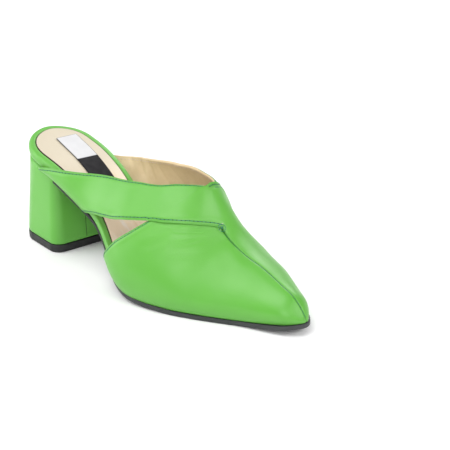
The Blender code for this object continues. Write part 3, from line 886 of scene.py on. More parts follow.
@dataclass(frozen=True)
class Thread:
    """Stitches of one thread.

    Attributes:
        pitch: spacing of the stitches in millimetres.
        length: length of a stitch.
        radius: radius of the thread.
        sunk: how far its middle lies below the leather's face.
        hole: size of the dark disc that paints the shade inside the hole between two stitches.
        sides: sides of the thread.
        rings: share of the way along a stitch, thickness there and how deep it dives.
        dimple: height and size of the rings of a hole.
        hole_shape: how long and how wide the hole is for its size.
        step: spacing of the points that a row is laid out on.
    """

    pitch: float = 2.6
    length: float = 1.85
    radius: float = 0.27
    sunk: float = -0.06
    hole: float = 0.42
    sides: int = 6
    rings: Rows = (
        (0.0, 0.35, 0.32), (0.1, 0.8, 0.14), (0.3, 1.0, 0.0),
        (0.7, 1.0, 0.0), (0.9, 0.8, 0.14), (1.0, 0.35, 0.32),
    )
    dimple: Rows = ((-0.15, 1.0), (0.05, 1.0), (0.13, 0.72), (0.16, 0.3))
    hole_shape: tuple[float, float] = (1.15, 0.9)
    step: float = 0.2

    def stitch(self, draft: MeshDraft, start: Array, end: Array, square: Array, slot: int = 0) -> None:
        """Adds one stitch, round in the middle and diving at its ends.

        Args:
            draft: the mesh in the making.
            start: where it comes out.
            end: where it goes in.
            square: direction square to the leather.
            slot: its material slot.
        """
        along = unit(end - start)
        side = unit(np.cross(square, along))
        square = np.cross(along, side)
        rings = []
        for share, size, dip in self.rings:
            middle = start + (end - start) * share - square * (self.sunk + dip)
            rings.append(circle(middle, side, square, self.radius * size, self.sides))
        draft.add(*rings_shape(rings), slot)

    def row(self, draft: MeshDraft, line: Line, slot: int = 0, ends: float = 1.2) -> None:
        """Adds a row of stitches.

        Args:
            draft: the mesh in the making.
            line: the line that they follow, with the directions square to the leather.
            slot: their material slot.
            ends: length left bare at both ends.
        """
        points, index = resampled(line[0], self.step)
        normals = unit(pick(line[1], index))
        reach = self.step * (len(points) - 1)
        count = int((reach - 2 * ends) / self.pitch)
        for k in range(count):
            centre = ends + (k + 0.5) * (reach - 2 * ends) / count
            a, b, c = (int(round((centre + more) / self.step)) for more in (
                -self.length / 2, self.length / 2, self.pitch / 2))
            ends_at = points[max(a, 0)], points[min(b, len(points) - 1)]
            self.stitch(draft, *ends_at, normals[(a + b) // 2], slot)
            if self.hole and c < len(points) - 1:
                self.dot(draft, points[c], normals[c], unit(points[c + 1] - points[c]))

    def dot(self, draft: MeshDraft, place: Array, square: Array, along: Array) -> None:
        """Adds the hole between two stitches as a small sunk disc, dark as painted shade.

        Args:
            draft: the mesh in the making.
            place: where it is.
            square: direction square to the leather.
            along: direction of the row.
        """
        long, wide = self.hole_shape
        side = np.cross(square, along) * wide
        # The sunk disc is painted shade inside the hole
        draft.add(*rings_shape([
            circle(place + square * lift, along * long, side, self.hole * size, 8)
            for lift, size in self.dimple
        ]), 2)


class Nodes:
    """Node tree of one material."""

    def __init__(self, name: str) -> None:
        """Starts the tree of the material of that name with its shader."""
        self.material = bpy.data.materials.new(name)
        self.material.use_nodes = True
        self.tree = self.material.node_tree
        self.shader = self.tree.nodes["Principled BSDF"]
        self.place = self.add("ShaderNodeTexCoord").outputs["Object"]

    def add(self, kind: str, inputs: Optional[dict] = None, **settings: object) -> bpy.types.Node:
        """Adds a node.

        Args:
            kind: its type.
            inputs: values and links of its inputs.
            **settings: its settings.

        Returns:
            The node.
        """
        node = self.tree.nodes.new(kind)
        for key, value in settings.items():
            setattr(node, key, value)
        for key, value in (inputs or {}).items():
            if isinstance(value, bpy.types.NodeSocket):
                self.tree.links.new(value, node.inputs[key])
            elif value is not None:
                node.inputs[key].default_value = value
        return node

    def stretched(self, scale: Triple) -> Socket:
        """Object position, stretched by factors along x, y and z."""
        return self.add("ShaderNodeMapping", {"Scale": scale, "Vector": self.place}).outputs[0]

    def along(self) -> Socket:
        """Place along the shoe in metres."""
        return self.add("ShaderNodeSeparateXYZ", {0: self.place}).outputs[0]

    def attribute(self, name: str) -> Socket:
        """Values that the mesh holds under a name."""
        return self.add("ShaderNodeAttribute", attribute_name=name).outputs["Fac"]

    def noise(self, scale: float, detail: float = 3.0, rough: float = 0.5,
              place: Optional[Socket] = None) -> Socket:
        """Soft noise."""
        inputs = {"Scale": scale, "Detail": detail, "Roughness": rough, "Vector": place or self.place}
        return self.add("ShaderNodeTexNoise", inputs).outputs[0]

    def cells(self, scale: float) -> Socket:
        """Distance to the middle of pebbled cells, so many to a metre."""
        return self.add("ShaderNodeTexVoronoi", {"Scale": scale, "Vector": self.place}).outputs["Distance"]

    def product(self, first: Socket, second: Socket) -> Socket:
        """One value times another."""
        return self.add("ShaderNodeMath", {0: first, 1: second}, operation="MULTIPLY").outputs[0]

    def ranged(self, value: Socket, low: float, high: float, start: float = 0.3, stop: float = 0.7) -> Socket:
        """Value moved softly from one range to another."""
        inputs = {"Value": value, "From Min": start, "From Max": stop, "To Min": low, "To Max": high}
        return self.add("ShaderNodeMapRange", inputs, interpolation_type="SMOOTHSTEP").outputs[0]

    def mixed(self, share: Socket, first: Colour | Socket, second: Colour) -> Socket:
        """Mix of two colours."""
        first = (*first, 1.0) if isinstance(first, tuple) else first
        return self.add("ShaderNodeMix", {0: share, 6: first, 7: (*second, 1.0)}, data_type="RGBA").outputs[2]

    def bump(self, height: Socket, depth: float, below: Optional[Socket], strength: float) -> Socket:
        """Bump of a height."""
        inputs = {"Strength": strength, "Distance": depth, "Height": height, "Normal": below}
        return self.add("ShaderNodeBump", inputs).outputs[0]

    def wear(self, colour: Socket, roughness: Socket, normal: Socket) -> bpy.types.Material:
        """Links the shader.

        Args:
            colour: colour.
            roughness: roughness.
            normal: normal.

        Returns:
            The finished material.
        """
        for name, value in (("Base Color", colour), ("Roughness", roughness), ("Normal", normal)):
            self.tree.links.new(value, self.shader.inputs[name])
        return self.material


@dataclass(frozen=True)
class Finish:
    """Finish of two mottled colours with a span of roughness, layers of relief and a coat.

    Attributes:
        name: name of the material.
        colour: its colour.
        shade: colour of its patches, a darker tone of its colour if left out.
        darker: how dark that tone is.
        patches: scale, octaves and fine share of the patches, and share of the shade in them.
        rough: scale and octaves of the roughness, and its least and most.
        layers: scale, octaves, depth in metres and strength of each relief, no octaves for cells.
        coat: weight and roughness of the coat.
        specular: strength of the mirror reflection.
    """

    name: str
    colour: Colour
    shade: Optional[Colour] = None
    darker: float = 0.6
    patches: tuple[float, ...] = (90.0, 4.0, 0.5, 0.6)
    rough: tuple[float, ...] = (260.0, 4.0, 0.38, 0.58)
    layers: Rows = ((1400.0, 4.0, 0.00012, 0.4),)
    coat: tuple[float, float] = (0.0, 0.03)
    specular: float = 0.5

    def tint(self, nodes: Nodes) -> Socket:
        """Colour over the piece.

        Args:
            nodes: the material's nodes.

        Returns:
            The colour.
        """
        shade = self.shade or tuple(self.darker * value for value in self.colour)
        *pattern, share = self.patches
        return nodes.mixed(nodes.ranged(nodes.noise(*pattern), 0.0, share), self.colour, shade)

    def dull(self, nodes: Nodes) -> Socket:
        """Roughness over the piece."""
        return nodes.ranged(nodes.noise(*self.rough[:2]), *self.rough[2:])

    def make(self) -> bpy.types.Material:
        """Makes the material.

        Returns:
            The material.
        """
        nodes, normal = Nodes(self.name), None
        for scale, detail, depth, strength in self.layers:
            height = nodes.noise(scale, detail) if detail else nodes.cells(scale)
            normal = nodes.bump(height, depth, normal, strength)
        nodes.shader.inputs["Coat Weight"].default_value = self.coat[0]
        nodes.shader.inputs["Coat Roughness"].default_value = self.coat[1]
        nodes.shader.inputs["Specular IOR Level"].default_value = self.specular
        return nodes.wear(self.tint(nodes), self.dull(nodes), normal)


@dataclass(frozen=True)
class GreenLeather(Finish):
    """Bright smooth leather with a fine grain and a soft satin coat.

    Attributes:
        drawn: whether painted shade darkens it in the seam's groove and beside the folded edges, at the distances
            that the mesh gives.
        seam: colour of the painted shade in the seam's groove.
        fold: colour of the painted shade along the rolled folded edge and its stitch channel.
    """

    name: str = "green_leather"
    colour: Colour = (0.120, 0.415, 0.052)
    shade: Colour = (0.095, 0.365, 0.040)
    patches: tuple[float, ...] = (28.0, 4.0, 0.5, 0.40)
    rough: tuple[float, ...] = (55.0, 5.0, 0.34, 0.47)
    layers: Rows = ((42.0, 2.0, 0.0004, 0.22), (1500.0, 0.0, 0.00012, 0.30), (2600.0, 2.0, 0.00006, 0.30))
    coat: tuple[float, float] = (0.20, 0.34)
    specular: float = 0.40
    # Painted shade, switched on by drawn: seam colours the seam's groove, fold the rolled folded edges
    drawn: bool = True
    seam: Colour = (0.035, 0.150, 0.030)
    fold: Colour = (0.055, 0.220, 0.030)

    def tint(self, nodes: Nodes) -> Socket:
        """Green, with painted shade in the seam's groove and along the rolled folded edges and their stitch
        channels.

        Args:
            nodes: the material's nodes.

        Returns:
            The colour.
        """
        colour = super().tint(nodes)
        if self.drawn:
            # Painted shade in the seam's groove and along the rolled edges and stitch channels
            sunk = nodes.ranged(nodes.attribute("seam_mm"), 0.40, 0.0, 0.1, 0.7)
            near = nodes.ranged(nodes.attribute("edge_mm"), 0.22, 0.0, 0.9, 2.1)
            colour = nodes.mixed(near, nodes.mixed(sunk, colour, self.seam), self.fold)
        return colour


@dataclass(frozen=True)
class LiningLeather(Finish):
    """Beige lining leather, matt with faint marks."""

    name: str = "beige_lining"
    colour: Colour = (0.640, 0.500, 0.295)
    shade: Colour = (0.470, 0.345, 0.180)
    patches: tuple[float, ...] = (60.0, 6.0, 0.6, 0.55)
    rough: tuple[float, ...] = (120.0, 3.0, 0.50, 0.68)
    layers: Rows = ((130.0, 3.0, 0.0005, 0.35), (1800.0, 3.0, 0.00010, 0.40))


@dataclass(frozen=True)
class SockLeather(Finish):
    """Pale sock leather with painted sheen and painted shade in streaks along the foot.

    Attributes:
        fore: colour in the cut-out, its own peachier tone, lightened as painted light against the strap's shade.
        streak_shade: colour of the darker streaks there, painted shade.
        pale: colour of the paler streaks there, painted sheen.
        change: where the heel's colour ends and that of the cut-out starts, in metres.
    """

    name: str = "sock_leather"
    colour: Colour = (0.580, 0.510, 0.385)
    rough: tuple[float, ...] = (0.30, 0.48)
    layers: Rows = ((50.0, 3.0, 0.0006, 0.3), (1500.0, 3.0, 0.00008, 0.30))
    coat: tuple[float, float] = (0.12, 0.30)
    # Cut-out colour partly painted light; darker streaks are painted shade, paler streaks painted sheen
    fore: Colour = (0.930, 0.800, 0.620)
    streak_shade: Colour = (0.740, 0.570, 0.360)
    pale: Colour = (0.96, 0.92, 0.86)
    change: tuple[float, float] = (-0.075, -0.035)

    def streaks(self, nodes: Nodes) -> Socket:
        """Streaks along the foot, for the painted sheen and shade and for the roughness."""
        return nodes.noise(36.0, 6.0, 0.65, nodes.stretched((0.35, 3.2, 1.0)))

    def tint(self, nodes: Nodes) -> Socket:
        """Colour from heel to cut-out, lightened there as painted light, with painted shade and sheen in streaks in
        the cut-out.

        Args:
            nodes: the material's nodes.

        Returns:
            The colour.
        """
        forward = nodes.ranged(nodes.along(), 0.0, 1.0, *self.change)
        # The cut-out is lighter than the heel partly as its own tone and partly as painted light against the
        # strap's shade
        colour = nodes.mixed(forward, self.colour, self.fore)
        # Darker streaks in the cut-out: painted shade
        dark = nodes.product(nodes.ranged(self.streaks(nodes), 0.0, 0.75, 0.46, 0.66), forward)
        colour = nodes.mixed(dark, colour, self.streak_shade)
        # Paler streaks in the cut-out: painted sheen
        light = nodes.noise(44.0, 5.0, 0.6, nodes.stretched((0.30, 3.6, 1.4)))
        light = nodes.product(nodes.ranged(light, 0.0, 0.8, 0.52, 0.70), forward)
        return nodes.mixed(light, colour, self.pale)

    def dull(self, nodes: Nodes) -> Socket:
        """Roughness that follows the streaks."""
        return nodes.ranged(self.streaks(nodes), *self.rough)


@dataclass(frozen=True)
class SatinRubber(Finish):
    """Near-black rubber or dyed leather board with a fine grain.

    Attributes:
        waist_shade: span along the shoe in metres over which painted shade darkens it towards the heel, if it does.
    """

    name: str = "sole_rubber"
    colour: Colour = (0.034, 0.037, 0.039)
    # Painted shade under the shank, where the sole faces down into shadow
    waist_shade: Optional[tuple[float, float]] = None

    def tint(self, nodes: Nodes) -> Socket:
        """Its colour, with painted shade from the middle of the shoe back towards the heel.

        Args:
            nodes: the material's nodes.

        Returns:
            The colour.
        """
        colour = super().tint(nodes)
        if self.waist_shade:
            # Painted shade under the shank
            dark = tuple(0.12 * value for value in self.colour)
            colour = nodes.mixed(nodes.ranged(nodes.along(), 0.0, 1.0, *self.waist_shade), colour, dark)
        return colour


@dataclass(frozen=True)
class TwistedThread(Finish):
    """Sewing thread."""

    darker: float = 0.65
    patches: tuple[float, ...] = (900.0, 3.0, 0.5, 0.8)
    rough: tuple[float, ...] = (500.0, 2.0, 0.50, 0.70)
    layers: Rows = ((3200.0, 2.0, 0.00010, 0.5),)


@dataclass(frozen=True)
class PlainPlate(Finish):
    """Plain plate, white with a thin dark border at the back and near black in front.

    Attributes:
        front: colour of its front half.
        line: colour of its border.
    """

    name: str = "plain_plate"
    colour: Colour = (0.640, 0.640, 0.650)
    shade: Colour = (0.56, 0.56, 0.57)
    patches: tuple[float, ...] = (150.0, 4.0, 0.5, 0.4)
    rough: tuple[float, ...] = (200.0, 2.0, 0.55, 0.70)
    layers: Rows = ((1200.0, 3.0, 0.00008, 0.3),)
    specular: float = 0.25
    front: Colour = (0.006, 0.005, 0.007)
    line: Colour = (0.06, 0.05, 0.05)

    def tint(self, nodes: Nodes) -> Socket:
        """White with its border behind, dark in front.

        Args:
            nodes: the material's nodes.

        Returns:
            The colour.
        """
        border = nodes.ranged(nodes.attribute("edge_mm"), 0.9, 0.0, 0.3, 0.6)
        ahead = nodes.ranged(nodes.attribute("along_mm"), 0.0, 1.0, -0.25, 0.25)
        return nodes.mixed(ahead, nodes.mixed(border, super().tint(nodes), self.line), self.front)


def skin(draft: MeshDraft, levels: Sequence[Level], slot: int = 0, pointed: bool = True,
         caps: tuple[bool, bool] = (True, True)) -> None:
    """Skin over levels that each have an outer and an inner side.

    Args:
        draft: the mesh in the making.
        levels: the sides of each level from heel to toe, from the lowest up.
        slot: material slot.
        pointed: whether the two sides meet at both ends.
        caps: whether the first and the last level are filled.
    """
    rings = [np.concatenate([outer, inner[-2:0:-1] if pointed else inner[::-1]]) for outer, inner in levels]
    points, faces = rings_shape(rings, caps=False)
    total, last, apart = len(rings[0]), (len(rings) - 1) * len(rings[0]), 0 if pointed else 1
    for k in range(len(levels[0][0]) - 1):
        near, far = (total - k - apart) % total, total - k - 1 - apart
        if caps[0]:
            faces.append([k, near, far, k + 1])
        if caps[1]:
            faces.append([last + k, last + k + 1, last + far, last + near])
    draft.add(points, faces, slot)


def around_sole(grow: float, height: Callable[[Array], Array], steps: int = 150) -> Level:
    """The two sides of the insole outline, grown outwards, at a height.

    Args:
        grow: how far it is grown.
        height: height at a station.
        steps: number of spans.

    Returns:
        The outer and the inner side.
    """
    share = np.linspace(0, 1, steps + 1)
    x = -grow + (LAST.length + 2 * grow) * (0.5 - 0.5 * np.cos(share * math.pi))
    outer, inner = LAST.outline(x, grow)
    return np.stack([x, outer, height(x)], -1), np.stack([x, inner, height(x)], -1)


def rounded(ends: tuple[float, float], half: float, corners: tuple[float, float],
            turns: int, spans: int) -> tuple[Array, Array]:
    """Plan of a rectangle with rounded corners.

    Args:
        ends: its two ends.
        half: half its width.
        corners: radius of the corners at each end.
        turns: points round a corner.
        spans: spans between the corners.

    Returns:
        Places from end to end, and the half width at each.
    """
    (back, front), (rear, fore) = ends, corners
    turn = np.linspace(0, math.pi / 2, turns)
    straight = np.linspace(back + rear, front - fore, spans + 1)[1:-1]
    x = np.concatenate([back + rear * (1 - np.cos(turn)), straight, front - fore * (1 - np.sin(turn))])
    width = half - rear - fore
    for radius, depth in ((rear, rear - (x - back)), (fore, fore - (front - x))):
        width = width + np.sqrt(np.clip(radius ** 2 - np.clip(depth, 0, radius) ** 2, 0, None))
    return x, width


@dataclass
class Footbed:
    """Covered insole with its rounded rim, the sock laid in it and the plain plate at the heel."""

    crown: float = 4.7
    recess: float = 1.1
    turned_in: float = 0.15
    step_in: float = 0.2
    rim_steps: int = 18
    rim_weight: float = 7.0
    sock_inset: float = 5.2
    sock_thick: float = 1.0
    turned_edge: float = 0.45
    plate_length: float = 52.0
    plate_width: float = 16.3
    plate_thick: float = 0.5
    plate_middle: float = 44.4
    plate_across: float = 0.6
    plate_turn: float = 0.166
    plate_corner: float = 1.0
    least_corner: float = 0.4
    rim_side: Rows = (
        (2.2, 0.0), (1.0, 0.04), (0.35, 0.14), (0.04, 0.32),
        (0.0, 0.56), (0.35, 0.80), (1.2, 0.95), (2.6, 1.0),
    )

    def floor(self, x: Array) -> Array:
        """Height of the recess for the sock at stations."""
        return LAST.sole_top(x) + LAST.board_thick(x) - self.recess

    def sock_height(self, x: Array) -> Array:
        """Height of the sock's underside at stations."""
        return self.floor(x) + GAP

    def build(self, wrap: Material, sock: Material, edge: Material, plate: Material) -> list[Object]:
        """Builds the covered insole, the sock and the plate."""
        return [self.build_rim(wrap), self.build_sock(sock, edge), self.build_plate(plate)]

    def rim_levels(self) -> list[Level]:
        """Levels of the covered insole.

        Returns:
            The levels from the underside, over the rounded rim, to the recess.
        """
        table = np.array(self.rim_side)
        spans = np.hypot(np.diff(table[:, 0]), self.rim_weight * np.diff(table[:, 1]))
        at = np.concatenate([[0], np.cumsum(spans)])
        levels = []
        for s in np.linspace(0, at[-1], self.rim_steps + 1):
            inset, share = (float(through(at, table[:, k], s)) for k in (0, 1))
            levels.append(around_sole(-GAP - inset, lambda x, k=share: (
                LAST.sole_top(x) + GAP * (1 - k) + k * LAST.board_thick(x))))
        levels.append(around_sole(-self.crown, lambda x: self.floor(x) + self.recess - self.turned_in))
        levels.append(around_sole(-self.crown - self.step_in, self.floor))
        return levels

    def build_rim(self, leather: Material) -> Object:
        """Builds the covered insole.

        Args:
            leather: its cover.

        Returns:
            The object.
        """
        draft = MeshDraft()
        skin(draft, self.rim_levels())
        item = draft.finish("covered_insole_rim", (leather,), 50)
        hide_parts("covered_insole")
        return item

    def build_sock(self, leather: Material, edge: Material) -> Object:
        """Builds the sock with its thin dark edge.

        Args:
            leather: its face.
            edge: its edge.

        Returns:
            The object.
        """
        draft = MeshDraft()
        side = ((0.2, 0.0), (0.0, 0.35), (0.0, 0.80), (0.2, 0.97), (self.turned_edge, 1.0))
        face = ((self.turned_edge, 1.0), (2.0, 0.98), (5.0, 0.95), (9.0, 0.91))
        for rows, slot in ((side, 1), (face, 0)):
            levels = [around_sole(-self.sock_inset - inset, lambda x, k=share: (
                self.sock_height(x) + k * self.sock_thick)) for inset, share in rows]
            skin(draft, levels, slot, caps=(slot == 1, slot == 0))
        item = draft.finish("sock_lining", (leather, edge), 50)
        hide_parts("sock")
        return item

    def build_plate(self, plain: Material) -> Object:
        """Builds the plain plate on the sock.

        Args:
            plain: its material.

        Returns:
            The object.
        """
        draft, levels = MeshDraft(), []
        edge: list[float] = []
        half: list[float] = []
        cos, sin = math.cos(self.plate_turn), math.sin(self.plate_turn)
        for share, inset in ((0.0, 0.0), (0.6, 0.0), (1.0, 0.25), (1.0, 0.85)):
            end, radius = self.plate_length / 2 - inset, max(self.plate_corner - inset, self.least_corner)
            x, width = rounded((-end, end), self.plate_width / 2 - inset, (radius, radius), 7, 20)
            sides = []
            for sign in (-1, 1):
                along = self.plate_middle + cos * x + sin * sign * width
                across = self.plate_across - sin * x + cos * sign * width
                z = self.sock_height(along) + self.sock_thick + GAP + share * self.plate_thick
                sides.append(np.stack([along, across, z], -1))
            levels.append((sides[0], sides[1]))
            edge.extend([inset] * (2 * len(x)))
            half.extend([*x, *x[::-1]])
        skin(draft, levels, pointed=False)
        draft.values = {"edge_mm": edge, "along_mm": half}
        item = draft.finish("heel_plate", (plain,), 40)
        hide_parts("sock_label")
        return item


@dataclass
class Outsole:
    """Thin black outsole from the heel breast to the toe."""

    start: float = 48.6
    edge: float = 2.5
    toe_edge: float = 3.9
    waist_edge: float = -0.8
    edge_start: float = 76.0
    edge_run: float = 84.0
    breast_edge: float = 1.9
    breast_start: float = 64.0
    breast_run: float = 16.0
    skew: float = 0.22
    skew_run: float = 40.0
    steps: int = 170
    profile: Rows = (
        (-0.9, 0.0), (-0.5, 0.08), (-0.2, 0.3), (-0.02, 0.7), (0.0, 1.2), (0.0, 2.3), (-0.03, 2.75),
        (-0.15, 3.1), (-0.4, 3.28), (-0.8, 3.3),
    )

    def level(self, inset: float, rise: float) -> Level:
        """One level of the outsole.

        Args:
            inset: how far it stands back, below zero.
            rise: height above its underside.

        Returns:
            The outer and the inner side.
        """
        share = np.sin(np.linspace(0, 1, self.steps + 1) * math.pi / 2)
        x = self.start + (LAST.length + self.edge + inset - self.start) * share
        stand = self.waist_edge + (self.edge - self.waist_edge) * ease((x - self.edge_start) / self.edge_run)
        stand = stand + inset + self.breast_edge * (1 - ease((x - self.breast_start) / self.breast_run))
        stand += (self.toe_edge - self.edge) * ease((x - LAST.length + LAST.toe_run) / LAST.toe_run)
        share = LAST.rounding(x, self.edge + inset)
        fade = 1 - ease((x - self.start) / self.skew_run)
        sides = []
        for side in (-(curve(OUTLINE, 1, x) + stand) * share, (curve(OUTLINE, 2, x) + stand) * share):
            along = x + self.skew * side * fade
            z = LAST.sole_top(along) - LAST.outsole_thick + rise
            sides.append(np.stack([along, side, z], -1))
        return sides[0], sides[1]

    def build(self, rubber: Material) -> Object:
        """Builds the outsole.

        Args:
            rubber: its material.

        Returns:
            The object.
        """
        draft = MeshDraft()
        skin(draft, [self.level(inset, rise) for inset, rise in self.profile], pointed=False)
        item = draft.finish("outsole_rubber", (rubber,), 60)
        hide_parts("outsole")
        return item


@dataclass
class Heel:
    """Covered block heel and its hard top piece."""

    foot: float = 6.1
    top_piece: float = 5.8
    skew: float = 0.22
    seam_width: float = 0.55
    seam_place: float = 0.42
    seam_proud: float = 0.03
    seam_sunk: float = 0.5
    turns: int = 22
    block_edge: Rows = ((0.0, 0.7), (0.004, 0.25), (0.012, 0.0))
    block_top: Rows = ((0.955, 0.0), (0.975, 0.6), (1.0, 2.2))
    piece_foot: Rows = ((0.0, 0.9), (0.1, 0.5), (0.35, 0.15), (0.8, -0.02), (1.6, -0.08))
    piece_top: Rows = ((1.0, -0.18), (0.4, -0.16), (0.12, 0.0), (0.0, 0.35))

    def ring(self, share: float, inset: float = 0.0) -> tuple[Array, Array]:
        """Plan of the heel at a height share.

        Args:
            share: height share.
            inset: how far it stands back.

        Returns:
            The outer and the inner side as places in plan.
        """
        sizes = [float(curve(HEEL_PLAN, k, np.array(share))) for k in range(1, 8)]
        back, breast, outer, inner, rear, fore, turned = sizes
        centre, middle = (back + breast) / 2, (inner - outer) / 2
        back, breast = back + inset, breast - inset
        corners = (rear - inset, fore - inset)
        x, width = rounded((back, breast), (outer + inner) / 2 - inset, corners, self.turns, 10)
        lean = self.skew * ease((x - back) / (breast - back))
        drop = middle - turned * (x - centre)
        sides = [np.stack([x + lean * sign * width, drop + sign * width], -1) for sign in (-1, 1)]
        return sides[0], sides[1]

    def height(self, share: float, x: Array) -> Array:
        """Height at a share of the way from the block's foot to the sole above."""
        return self.foot + share * (LAST.sole_top(x) - self.foot)

    def build_block(self, leather: Material, seam: Material) -> Object:
        """Builds the covered block, with a dark strip down the breast that paints the shadow line of its cover's
        seam.

        Args:
            leather: its cover.
            seam: material of the seam's shadow line.

        Returns:
            The object.
        """
        draft, levels = MeshDraft(), []
        wall = ((share, 0.0) for share in np.linspace(0.06, 0.94, 23))
        for share, inset in (*self.block_edge, *wall, *self.block_top):
            outer, inner = self.ring(float(share), inset)
            levels.append(tuple(np.column_stack([side, self.height(share, side[:, 0])]) for side in (outer, inner)))
        skin(draft, levels, pointed=False)
        # Dark strip down the breast: painted shadow line of the cover's seam
        strip = []
        for share in np.linspace(0.03, 0.97, 24):
            outer, inner = self.ring(float(share))
            x, y = outer[-1] + (inner[-1] - outer[-1]) * self.seam_place + (self.seam_proud, 0.0)
            z, half = float(self.height(share, x)), self.seam_width / 2
            corners = ((-self.seam_sunk, -half), (0.0, -half), (0.0, half), (-self.seam_sunk, half))
            strip.append(np.array([(x + in_x, y + in_y, z) for in_x, in_y in corners]))
        draft.add(*rings_shape(strip), 1)
        item = draft.finish("heel_cover", (leather, seam), 50)
        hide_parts("heel_block")
        return item

    def build_top_piece(self, rubber: Material) -> Object:
        """Builds the top piece.

        Args:
            rubber: its material.

        Returns:
            The object.
        """
        draft, levels = MeshDraft(), []
        top = ((self.top_piece - down, inset) for down, inset in self.piece_top)
        for z, inset in (*self.piece_foot, *top):
            sides = self.ring(0.0, inset)
            levels.append(tuple(np.column_stack([side, np.full(len(side), z)]) for side in sides))
        skin(draft, levels, pointed=False)
        item = draft.finish("heel_top_piece", (rubber,), 60)
        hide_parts("top_piece")
        return item


def spread(steps: int, dense: float = 0.7) -> Array:
    """Marks from 0 to 1, closer together at both ends."""
    u = np.linspace(0, 1, steps + 1)
    return u - dense * np.sin(2 * math.pi * u) / (2 * math.pi)


